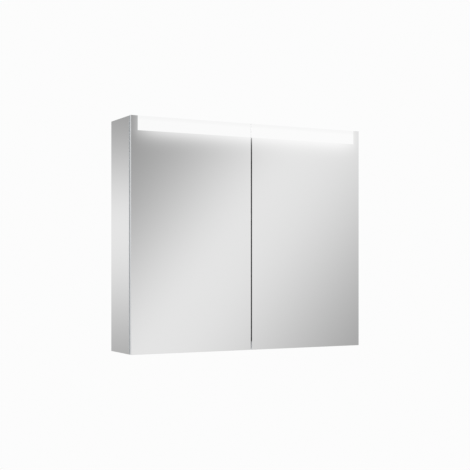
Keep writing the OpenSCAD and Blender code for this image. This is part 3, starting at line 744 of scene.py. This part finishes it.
def outline(between=0):
    """Columns of a rounded rectangle, as the way each column leans and its angle.

    Round a corner the angle turns by 90 degrees while the lean stays there, at (+-1, +-1). Along
    a straight side the angle stays while the lean runs on to the next corner.
    """
    corners = np.array([(1, 1), (-1, 1), (-1, -1), (1, -1)], float)
    onward = np.roll(corners, -1, axis=0) - corners
    slide = np.concatenate([np.zeros(CORNER_STEPS + 1), np.linspace(0, 1, between + 2)[1:-1]])
    turn = np.concatenate([np.linspace(0, 1, CORNER_STEPS + 1), np.ones(between)])
    lean = corners[:, None] + slide[None, :, None] * onward[:, None]
    return lean.reshape(-1, 2), ((np.arange(4)[:, None] + turn) * math.pi / 2).reshape(-1)


def carried(profile, low, high, corner, axis, sign=1, between=0):
    """Rings of points, one for each (inset, height) of the profile.

    The ring's quarter circles have the radius r = max(corner - inset, 0), and their centres lie
    half - inset - r from the middle of the box low..high. The ring stands at height above the
    box's low end along the axis, or below its high end where sign is -1.
    """
    lean, angle = outline(between)
    inset, height = np.asarray(profile, float).T[:, :, None]
    radius = np.maximum(corner - inset, 0)
    rings = np.empty((len(profile), len(angle), 3))
    across = [k for k in range(3) if k != axis]
    for k, way, swing in zip(across, lean.T, (np.cos(angle), np.sin(angle))):
        out = np.maximum((high[k] - low[k]) / 2 - inset - radius, 0)
        rings[..., k] = (low[k] + high[k]) / 2 + way * out + radius * swing
    rings[..., axis] = (low[axis] if sign > 0 else high[axis]) + sign * height
    return rings


def plate_rings(low, high, corner, edge, axis):
    """A plate whose profile is two quarter circles of radius edge, joined by the plate's side."""
    thick = high[axis] - low[axis]
    profile = [arc(edge, edge, edge, 270, 180), arc(edge, thick - edge, edge, 180, 90)]
    return carried(np.concatenate(profile), low, high, corner, axis)


print("columns of an outline:", len(outline()[1]))

# %% [markdown]
# The rings become faces: each ring is joined to the next. A closed profile, as on a grommet, also
# joins its last ring to its first, and an open one gets a flat face at each end. Points that
# fall together, as at the tip of a screw, are merged, and the faces are turned outwards.

# %% Make solids from rings
MERGE = 1e-6


def faces_of(rings, closed):
    """Quads between neighbouring rings, and the two end faces of an open profile."""
    number = np.arange(rings.shape[0] * rings.shape[1]).reshape(rings.shape[:2])
    after = np.roll(number, -1, axis=0)
    quads = np.stack([number, np.roll(number, -1, axis=1), np.roll(after, -1, axis=1), after], -1)
    ends = [] if closed else [number[0].tolist(), number[-1].tolist()]
    return (quads if closed else quads[:-1]).reshape(-1, 4).tolist() + ends


def placed(name, whole):
    """A new object in the scene, from the faces gathered in a bmesh."""
    mesh = bpy.data.meshes.new(name)
    whole.to_mesh(mesh)
    whole.free()
    made = bpy.data.objects.new(name, mesh)
    bpy.context.scene.collection.objects.link(made)
    return made


def solid(name, *shapes, closed=False):
    """One object from the rings of one or more shapes."""
    whole = bmesh.new()
    for rings in shapes:
        loose = bpy.data.meshes.new(name)
        loose.from_pydata(rings.reshape(-1, 3), [], faces_of(rings, closed))
        part = bmesh.new()
        part.from_mesh(loose)
        bmesh.ops.remove_doubles(part, verts=part.verts, dist=MERGE)
        bmesh.ops.recalc_face_normals(part, faces=part.faces)
        part.to_mesh(loose)
        part.free()
        whole.from_mesh(loose)
        bpy.data.meshes.remove(loose)
    return placed(name, whole)


def joined(name, *pieces):
    """One object that holds the meshes of several, which are then removed."""
    whole = bmesh.new()
    for piece in pieces:
        whole.from_mesh(piece.data)
        bpy.data.objects.remove(piece)
    return placed(name, whole)


def cut(made, *holes):
    """Takes the rings' shapes out of an object, with the exact solver."""
    tool = solid("tool", *holes)
    change = made.modifiers.new("cut", "BOOLEAN")
    change.operation, change.solver, change.object = "DIFFERENCE", "EXACT", tool
    graph = bpy.context.evaluated_depsgraph_get()
    mesh = bpy.data.meshes.new_from_object(made.evaluated_get(graph))
    made.modifiers.clear()
    made.data = mesh
    bpy.data.objects.remove(tool)
    return made


print("points closer than", MERGE, "are merged")

# %% [markdown]
# A finished piece gets its material, rides on its body and stands for its node. It is shaded
# smooth, but its real corners stay crisp. A modifier could find them too, but marked in the mesh
# they are there for any program.

# %% Dress a piece and hang it up
CREASE = math.radians(38)
LARGE_FACE = 12


def fitting(made, slot, node, body="cabinet"):
    """Dresses a piece in a slot's finish and hangs it on its body, in place of the node.

    Edges are sharp where the surface turns by more than CREASE, and round every face of more than
    LARGE_FACE sides.
    """
    mesh = made.data
    mesh.name = made.name
    mesh.shade_smooth()
    mesh.set_sharp_from_angle(angle=CREASE)
    sides = np.empty(len(mesh.polygons), np.int32)
    mesh.polygons.foreach_get("loop_total", sides)
    edges = np.empty(len(mesh.loops), np.int32)
    mesh.loops.foreach_get("edge_index", edges)
    sharp = np.empty(len(mesh.edges), bool)
    mesh.edges.foreach_get("use_edge_sharp", sharp)
    sharp[edges[np.repeat(sides > LARGE_FACE, sides)]] = True
    mesh.edges.foreach_set("use_edge_sharp", sharp)
    mesh.materials.clear()
    mesh.materials.append(finishes[slot])
    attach(made, body)
    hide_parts(node)
    print(f"{made.name}: {len(mesh.polygons)} faces, for {node}")


print("sharp past", round(math.degrees(CREASE)), "degrees")

# %% [markdown]
# Some nodes hold several equal parts, such as eight shelf supports. Their places are read from the
# node's own mesh, so that nothing is typed twice. That mesh is loose triangles, so the corners
# that share a place are matched first.

# %% Find the separate parts of a node
def parts(node):
    """The points of each separate part of a node.

    Points in one place get one number, to a micrometre. Each triangle then gives its smallest
    number to its three corners, over and over, until every part has a single number.
    """
    mesh = frame["nodes"][node].data
    points = np.empty(len(mesh.vertices) * 3)
    mesh.vertices.foreach_get("co", points)
    corners = np.empty(len(mesh.loops), np.int32)
    mesh.loops.foreach_get("vertex_index", corners)
    places, number = np.unique(np.round(points.reshape(-1, 3), 6), axis=0, return_inverse=True)
    triangles = number.reshape(-1)[corners].reshape(-1, 3)
    label, before = np.arange(len(places)), None
    while before is None or (label != before).any():
        before = label.copy()
        np.minimum.at(label, triangles, label[triangles].min(axis=1)[:, None])
        label = label[label]
    return [places[label == k] for k in np.unique(label)]


def boxes(node):
    """The lowest and highest corner of each separate part of a node."""
    return [(points.min(axis=0), points.max(axis=0)) for points in parts(node)]


print("shelf supports:", len(parts("shelf_supports")))

# %% [markdown]
# ### Shelves and their supports
#
# A glass shelf has ground and polished edges with a small round along each, and its corners are
# eased. A support is a nickel-plated pin with a flat tongue under the glass. Shelf and tongue are
# plates with a round edge, and the pin is turned.

# %% Make the shelves and supports
SHELF_CORNER = 0.004
SHELF_ARRIS = 0.0014
TONGUE_THICK = 0.003
TONGUE_CORNER = 0.0035
TONGUE_EDGE = 0.0009
PLUG_CHAMFER = 0.0007
PLUG_NECK = 0.6

for level in ("lower", "upper"):
    low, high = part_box(f"shelf_{level}")
    pane = solid(f"glass_shelf_{level}", plate_rings(low, high, SHELF_CORNER, SHELF_ARRIS, axis=2))
    fitting(pane, "shelf_glass", f"shelf_{level}")

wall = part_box("side_right")[0].x
shapes = []
for low, high in boxes("shelf_supports"):
    middle, side = (low + high) / 2, np.sign(low[0] + high[0])
    air_end, plug_end = (low[0], high[0]) if side > 0 else (high[0], low[0])
    tongue = np.array([[air_end, low[1], middle[2] - TONGUE_THICK / 2],
                       [side * wall, high[1], middle[2] + TONGUE_THICK / 2]])
    ends = tongue.min(axis=0), tongue.max(axis=0)
    shapes.append(plate_rings(*ends, TONGUE_CORNER, TONGUE_EDGE, axis=2))
    pin_r, length = (high[2] - low[2]) / 2, abs(plug_end - side * wall) + TONGUE_CORNER
    start = np.array([side * (wall - TONGUE_CORNER), middle[1], middle[2]])
    heights = [0, TONGUE_CORNER / 2, length - PLUG_CHAMFER, length]
    radii = [pin_r * PLUG_NECK, pin_r, pin_r, pin_r - PLUG_CHAMFER]
    shapes.append(turned(radii, heights, start, 0, side))
fitting(solid("support_pins", *shapes), "nickel", "shelf_supports")

# %% [markdown]
# ### Door buffers, strikers and magnets
#
# The doors close on clear domes. A half ball has too slim a shoulder, so the radius is a power of
# the cosine of a rising angle, and the height is its sine. A thin nickel plate on each door meets
# a magnet in a moulded housing. The magnet's face stands a little proud of its housing.

# %% Make the buffers, strikers and magnet housings
DOME_STEPS = 8
DOME_POWER = 0.7
STRIKER_CORNER = 0.0022
STRIKER_EDGE = 0.0004
HOUSING_CORNER = 0.002
HOUSING_EDGE = 0.001
MAGNET_PROUD = 0.0003

climb = np.linspace(0, math.pi / 2, DOME_STEPS + 1)
domes = []
for low, high in boxes("door_buffers"):
    foot = np.array([(low[0] + high[0]) / 2, high[1], (low[2] + high[2]) / 2])
    radius, height = (high[0] - low[0]) / 2, high[1] - low[1]
    domes.append(turned(radius * np.cos(climb) ** DOME_POWER, height * np.sin(climb), foot, 1, -1))
fitting(solid("buffer_domes", *domes), "clear_silicone", "door_buffers")

for side in ("left", "right"):
    low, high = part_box(f"door_{side}_striker")
    plate = solid(f"striker_plate_{side}", plate_rings(low, high, STRIKER_CORNER, STRIKER_EDGE, 1))
    fitting(plate, "nickel", f"door_{side}_striker", body=f"door_{side}")

housings = []
for low, high in boxes("magnet_housings"):
    front = np.array([low[0], low[1] + MAGNET_PROUD, low[2]])
    housings.append(plate_rings(front, high, HOUSING_CORNER, HOUSING_EDGE, 1))
fitting(solid("magnet_cases", *housings), "white_plastic", "magnet_housings")

# %% [markdown]
# ### The power point
#
# A moulded tub carries a front plate with a socket and a rocker switch. The tub is one profile, up
# its outside and down its inside. The plate's two holes aren't on its middle, so they are cut
# through it with a Boolean, whose exact solver leaves clean borders.

# %% Make the tub and the front plate
BOX_CORNER = 0.003
BOX_EDGE = 0.0012
BOX_WALL = 0.0025
RIM_COVER = 0.0012

low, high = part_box("power_box")
depth = high.y - low.y
profile = [*arc(BOX_EDGE, BOX_EDGE, BOX_EDGE, 270, 180),
           (0, depth), (BOX_WALL, depth), (BOX_WALL, BOX_WALL)]
tub = solid("power_tub", carried(profile, low, high, BOX_CORNER, 1, -1))
fitting(tub, "white_plastic", "power_box")

low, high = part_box("power_faceplate")
thick = high.y - low.y
profile = [(0, 0), *arc(BOX_EDGE, thick - BOX_EDGE, BOX_EDGE, 180, 90)]
plate = solid("power_plate", carried(profile, low, high, BOX_CORNER, 1, -1))
well_low, well_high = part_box("socket_insert")
switch_low, switch_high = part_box("switch_frame")
well_x, well_z = (well_low.x + well_high.x) / 2, (well_low.z + well_high.z) / 2
flange_r = (well_high.x - well_low.x) / 2
through = [-thick, 2 * thick]
round_hole = turned([flange_r - RIM_COVER] * 2, through, (well_x, low.y, well_z), 1)
hole_low = (switch_low.x, low.y - thick, switch_low.z)
square_hole = carried([(RIM_COVER, 0), (RIM_COVER, 4 * thick)], hole_low, switch_high, 0, 1)
fitting(cut(plate, round_hole, square_hole), "white_plastic", "power_faceplate")

# %% [markdown]
# The socket is a round well with a soft rim, a fillet round its floor and a guide rib on each
# side. Drilled out of a block, each rounding would need a bevel of its own. Turned, they are part
# of the profile, which runs up outside, over the rim and down to the floor.

# %% Make the socket's cup and ribs
WELL_R = 0.0195
BARREL_R = 0.0220
FLANGE_T = 0.0015
RIM_ROUND = 0.0008
WELL_DRAFT = 0.0003
FLOOR_T = 0.005
FLOOR_FILLET = 0.0015
RIB_WIDE = 0.0048
RIB_PROUD = 0.0016
RIB_CORNER = 0.0012
RIB_EDGE = 0.0005

depth = well_high.y - well_low.y
outside = [(BARREL_R, 0), (BARREL_R, depth - FLANGE_T), (flange_r, depth - FLANGE_T)]
rim = arc(flange_r - RIM_ROUND, depth - RIM_ROUND, RIM_ROUND, 0, 90)
mouth = arc(WELL_R + RIM_ROUND, depth - RIM_ROUND, RIM_ROUND, 90, 180)
foot = arc(WELL_R - WELL_DRAFT - FLOOR_FILLET, FLOOR_T + FLOOR_FILLET, FLOOR_FILLET, 0, -90)
radius, height = np.concatenate([outside, rim, mouth, foot]).T
cup = turned(radius, height, (well_x, well_high.y, well_z), 1, -1)
ribs = []
for side in (-1, 1):
    x_low, x_high = sorted([side * (WELL_R - RIB_PROUD), side * (WELL_R + RIB_PROUD)])
    low = (well_x + x_low, well_low.y + 2 * FLANGE_T, well_z - RIB_WIDE / 2)
    high = (well_x + x_high, well_high.y - FLOOR_T / 2, well_z + RIB_WIDE / 2)
    ribs.append(plate_rings(low, high, RIB_CORNER, RIB_EDGE, axis=1))
print("socket rings:", len(cup))

# %% [markdown]
# Two holes in the floor lead to brass sleeves, and each hole is a little wider at its mouth. A
# sleeve is as high as it is wide. The earth springs are flat, which tells them apart.

# %% Make the pin holes and their sleeves
SLEEVE_WALL = 0.0008
LEAD_IN = 0.0008

contacts = boxes("socket_contacts")
springs = [(low, high) for low, high in contacts if high[2] - low[2] < (high[0] - low[0]) / 2]
sleeves = [(low, high) for low, high in contacts if high[2] - low[2] >= (high[0] - low[0]) / 2]
holes, tubes = [], []
for low, high in sleeves:
    middle, outer, length = (low + high) / 2, (high[0] - low[0]) / 2, high[1] - low[1]
    bore = outer - SLEEVE_WALL
    radii = [bore, bore, bore + LEAD_IN, bore + LEAD_IN]
    steps = [-FLOOR_T, FLOOR_T - LEAD_IN, FLOOR_T, 2 * FLOOR_T]
    holes.append(turned(radii, steps, (middle[0], well_high.y, middle[2]), 1, -1))
    start = (middle[0], low[1], middle[2])
    tubes.append(turned([outer, outer, bore, bore], [0, length, length, 0], start, 1))
print("sleeves:", len(sleeves), "springs:", len(springs))

# %% [markdown]
# The springs sit behind slots at the top and bottom of the well. Each is a strip whose middle bows
# into the well like half a wave squared: bow * sin(pi * t)^2 along its length. A curve with a
# bevel could draw it, but its section would be round. Here the section is a small rounded
# rectangle, and every ring of it stands square to the path.

# %% Make the earth springs and their slots
SPRING_BOW = 0.0026
SPRING_STEPS = 24
SPRING_ROUND = 0.3
SLOT_ROOM = 0.0005
SLOT_CORNER = 0.0006

along = np.linspace(0, 1, SPRING_STEPS + 1)
lean, angle = outline()
strips = []
for low, high in springs:
    wide, thick, middle = high[0] - low[0], high[2] - low[2], (low + high) / 2
    inward = -np.sign(middle[2] - well_z)
    reach = inward * 2 * SPRING_BOW
    slot_low = low + (0, 0, min(reach, 0)) - SLOT_ROOM
    slot_high = high + (0, 0, max(reach, 0)) + SLOT_ROOM
    deep = slot_high[1] - slot_low[1]
    holes.append(carried([(0, 0), (0, deep)], slot_low, slot_high, SLOT_CORNER, 1))
    bow = inward * SPRING_BOW * np.sin(math.pi * along) ** 2
    path = np.stack([low[1] + along * (high[1] - low[1]), middle[2] + bow], axis=1)
    tangent = np.gradient(path, axis=0)
    tangent /= np.linalg.norm(tangent, axis=1)[:, None]
    edge = thick * SPRING_ROUND
    lift = lean[:, 1] * (thick / 2 - edge) + edge * np.sin(angle)
    strip = np.empty((len(along), len(angle), 3))
    strip[..., 0] = middle[0] + lean[:, 0] * (wide / 2 - edge) + edge * np.cos(angle)
    strip[..., 1] = path[:, :1] - tangent[:, 1:] * lift
    strip[..., 2] = path[:, 1:] + tangent[:, :1] * lift
    strips.append(strip)
print("rings of a spring:", len(along))

# %% [markdown]
# The holes and slots are cut out of the cup alone, so that the ribs and strips keep clean faces.

# %% Put the socket together
well = joined("socket_cup", cut(solid("cup", cup), *holes), solid("ribs", *ribs))
fitting(well, "white_plastic", "socket_insert")
tubes, strips = solid("tubes", *tubes, closed=True), solid("strips", *strips)
fitting(joined("socket_springs", tubes, strips), "brass", "socket_contacts")

# %% [markdown]
# The switch has a frame with a soft rim. It is carried round like the tub, and its profile runs up
# outside, over the rim and down inside.

# %% Make the switch's frame
RIM_WIDE = 0.0015
RIM_THICK = 0.001
FRAME_WALL = 0.002
FRAME_ROUND = 0.0006

depth = switch_high.y - switch_low.y
rim_back = depth - RIM_THICK
inside, soft = RIM_WIDE + FRAME_WALL, FRAME_ROUND / 2
profile = [
    (RIM_WIDE, 0), (RIM_WIDE, rim_back), (0, rim_back),
    *arc(FRAME_ROUND, depth - FRAME_ROUND, FRAME_ROUND, 180, 90),
    *arc(inside - soft, depth - soft, soft, 90, 0), (inside, FRAME_WALL),
]
surround = solid("switch_surround", carried(profile, switch_low, switch_high, RIM_WIDE, 1, -1))
fitting(surround, "white_plastic", "switch_frame")

# %% [markdown]
# The rocker turns on two pins, and its face is hollow like half a wave, so that either end can be
# pressed down flat. Sculpting would leave its two ends unlike, so the hollow is a formula, and it
# fades with the third power of the depth, so the back stays flat. The rocker is drawn level round
# its pivot, and then turned to rest, half its travel from level.

# %% Make the rocker
ROCKER_CORNER = 0.0012
ROCKER_EDGE = 0.0008
FACE_STEPS = 8
SIDE_STEPS = 15
KEEL_HALF = 0.004
KEEL_INSET = 0.002
KEEL_CORNER = 0.001
KEEL_EDGE = 0.0006
KEEL_START = 0.25
PIN_R = 0.0015
PIN_EDGE = 0.0003

pivot = next(joint for joint in frame["joints"] if joint["name"] == "switch_rocker_pivot")
tilt = math.radians(pivot["range_deg"][1]) / 2
cosine, sine = math.cos(tilt), math.sin(tilt)
to_level = np.array([[1, 0, 0], [0, cosine, -sine], [0, sine, cosine]])
points = (np.concatenate(parts("switch_rocker")) - pivot["pos_m"]) @ to_level
pin_end, keel_back = points[:, 0].max(), points[:, 1].max()
cap_points = points[np.abs(points[:, 2]) > 2 * KEEL_HALF]
low, high = cap_points.min(axis=0), cap_points.max(axis=0)
thick, half = high[1] - low[1], (high[2] - low[2]) / 2
insets = np.linspace(ROCKER_EDGE, (high[0] - low[0]) / 2, FACE_STEPS + 1)[1:]
profile = [
    (ROCKER_EDGE / 2, 0), (0, ROCKER_EDGE / 2),
    *arc(ROCKER_EDGE, thick - ROCKER_EDGE, ROCKER_EDGE, 180, 90),
    *((inset, thick) for inset in insets),
]
cap = carried(profile, low, high, ROCKER_CORNER, 1, -1, between=SIDE_STEPS)
share = (high[1] - cap[..., 1]) / thick
cap[..., 1] += half * sine * np.cos(math.pi / 2 * cap[..., 2] / half) * share ** 3
keel_low = (low[0] + KEEL_INSET, low[1] * KEEL_START, -KEEL_HALF)
keel_high = (high[0] - KEEL_INSET, keel_back, KEEL_HALF)
keel = plate_rings(keel_low, keel_high, KEEL_CORNER, KEEL_EDGE, axis=1)
radii = [PIN_R - PIN_EDGE, PIN_R, PIN_R, PIN_R - PIN_EDGE]
heights = [0, PIN_EDGE, 2 * pin_end - PIN_EDGE, 2 * pin_end]
pins = turned(radii, heights, (-pin_end, 0, 0), 0)
shapes = [rings @ to_level.T + pivot["pos_m"] for rings in (cap, keel, pins)]
fitting(solid("rocker_cap", *shapes), "switch_plastic", "switch_rocker", body="rocker")

# %% [markdown]
# ### Rubber at the back
#
# The cable comes in through a grommet with round lips, and two eased rubber blocks hold the foot
# of the cabinet off the wall. The grommet is turned from a closed profile, which leaves its bore
# open.

# %% Make the grommet and the spacers
GROMMET_BORE = 0.004
GROMMET_BODY = 0.0089
LIP_THICK = 0.0015
SPACER_CORNER = 0.004
SPACER_EDGE = 0.0015

low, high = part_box("cable_grommet")
length, lip_r, half_lip = high.y - low.y, (high.x - low.x) / 2, LIP_THICK / 2
profile = np.concatenate([
    arc(GROMMET_BORE + half_lip, half_lip, half_lip, 180, 270),
    arc(lip_r - half_lip, half_lip, half_lip, -90, 90),
    [(GROMMET_BODY, LIP_THICK), (GROMMET_BODY, length - LIP_THICK)],
    arc(lip_r - half_lip, length - half_lip, half_lip, -90, 90),
    arc(GROMMET_BORE + half_lip, length - half_lip, half_lip, 90, 180),
])
ring = turned(*profile.T, ((low.x + high.x) / 2, low.y, (low.z + high.z) / 2), 1)
fitting(solid("grommet_ring", ring, closed=True), "grey_rubber", "cable_grommet")

blocks = [plate_rings(*box, SPACER_CORNER, SPACER_EDGE, axis=1) for box in boxes("wall_spacers")]
fitting(solid("spacer_blocks", *blocks), "grey_rubber", "wall_spacers")

# %% [markdown]
# ### Screws and dowels
#
# A screw could have its thread as a bump, but then its outline would be smooth. Here it is one
# turned surface whose radius also changes with the angle: the thread is a wave in height / pitch -
# angle / full turn, which makes a helix, and the key in the domed head is a hexagon, key /
# cos(angle to the nearest flat). Sizes of the thread are shares of the shank's radius, and those
# of the key and dome are shares of the head's radius and thickness.

# %% Make the screws
THREAD_DEPTH = 0.16
PITCH = 0.62
RINGS_TO_PITCH = 6
TIP = 1.6
HEAD_FROM = 0.95
HEAD_RIM = 0.35
PAST_HEAD = 2
DOME_RINGS = 6
KEY = 0.46
KEY_RIM = 1.25
KEY_DEPTH = 0.75


def thread(shank_r, neck):
    """Heights and radii of the shank: a cone at its tip, and the thread fades at the neck."""
    height = np.linspace(0, neck, int(neck / (shank_r * PITCH) * RINGS_TO_PITCH) + 1)
    taper = np.clip(height / (shank_r * TIP), 0, 1)[:, None]
    wave = np.abs((height[:, None] / (shank_r * PITCH) - ANGLE / (2 * math.pi)) % 1 * 2 - 1)
    fade = np.clip((neck - height) / shank_r, 0, 1)[:, None]
    return height, shank_r * taper * (1 - THREAD_DEPTH * wave * fade)


def screw(points):
    """Rings of a screw that fills the box of its points, from the tip to the head's key."""
    low, high = points.min(axis=0), points.max(axis=0)
    middle, axis = (low + high) / 2, int(np.argmax(high - low))
    along, out = points[:, axis], np.hypot(*np.delete(points - middle, axis, axis=1).T)
    head = along[out > out.max() * HEAD_FROM]
    head_r, head_t = out.max(), head.max() - head.min()
    shank_r = out[np.abs(along - head.mean()) > head_t * PAST_HEAD].max()
    length = high[axis] - low[axis]
    sign = 1 if head.mean() > middle[axis] else -1
    neck, floor = length - head_t, length - head_t * KEY_DEPTH
    shank, shank_rows = thread(shank_r, neck)
    key_r, part = head_r * KEY, np.linspace(0, 1, DOME_RINGS)
    hexagon = key_r / np.cos((ANGLE + math.pi / 6) % (math.pi / 3) - math.pi / 6)
    dome_r = head_r + (key_r * KEY_RIM - head_r) * part
    lift = np.sqrt(1 - (1 - np.sin(part * math.pi / 2)) ** 2)
    dome_h = neck + head_t * (HEAD_RIM + (1 - HEAD_RIM) * lift)
    rows = [shank_rows, np.full((1, TURN_STEPS), head_r),
            np.repeat(dome_r[:, None], TURN_STEPS, 1), np.tile(hexagon, (2, 1)),
            np.zeros((1, TURN_STEPS))]
    heights = np.concatenate([shank, [neck], dome_h, [length, floor, floor]])
    centre = middle.copy()
    centre[axis] = low[axis] if sign > 0 else high[axis]
    return turned(np.concatenate(rows), heights, centre, axis, sign)


for name, node in (("hook_screw_set", "hook_screws"), ("bracket_screw_set", "bracket_screws")):
    fitting(solid(name, *(screw(points) for points in parts(node))), "zinc_steel", node)

# %% [markdown]
# A dowel is turned too. Its flutes, which let the glue out, are a wave in the angle alone, and its
# ends are chamfered.

# %% Make the dowels
DOWEL_FLUTES = 16
FLUTE_DEPTH = 0.00022
DOWEL_CHAMFER = 0.0012

pegs = []
for low, high in boxes("corner_dowels"):
    radius, length, middle = (high[1] - low[1]) / 2, high[0] - low[0], (low + high) / 2
    flute = radius - FLUTE_DEPTH * (1 + np.cos(DOWEL_FLUTES * ANGLE))
    heights = np.array([0, DOWEL_CHAMFER, length - DOWEL_CHAMFER, length])
    shrink = np.array([DOWEL_CHAMFER, 0, 0, DOWEL_CHAMFER])[:, None]
    pegs.append(turned(flute - shrink, heights, (low[0], middle[1], middle[2]), 0))
fitting(solid("fluted_dowels", *pegs), "beech", "corner_dowels")

# %% [markdown]
# ## Finish every piece of the model
#
# The record says which slot each node wears, so one loop dresses them all.

# %% Dress the nodes
for entry in frame["record"]["subparts"]:
    mesh = frame["nodes"][entry["node"]].data
    mesh.materials.clear()
    mesh.materials.append(finishes[entry["material_slot"]])

# %% [markdown]
# ## Hand over
#
# The picture keeps plain colours, and both sizes are printed.

# %% Print the sizes and finish
bpy.context.scene.view_settings.view_transform = "Standard"
low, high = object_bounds()
print("visual size:", [round(b - a, 4) for a, b in zip(low, high)])
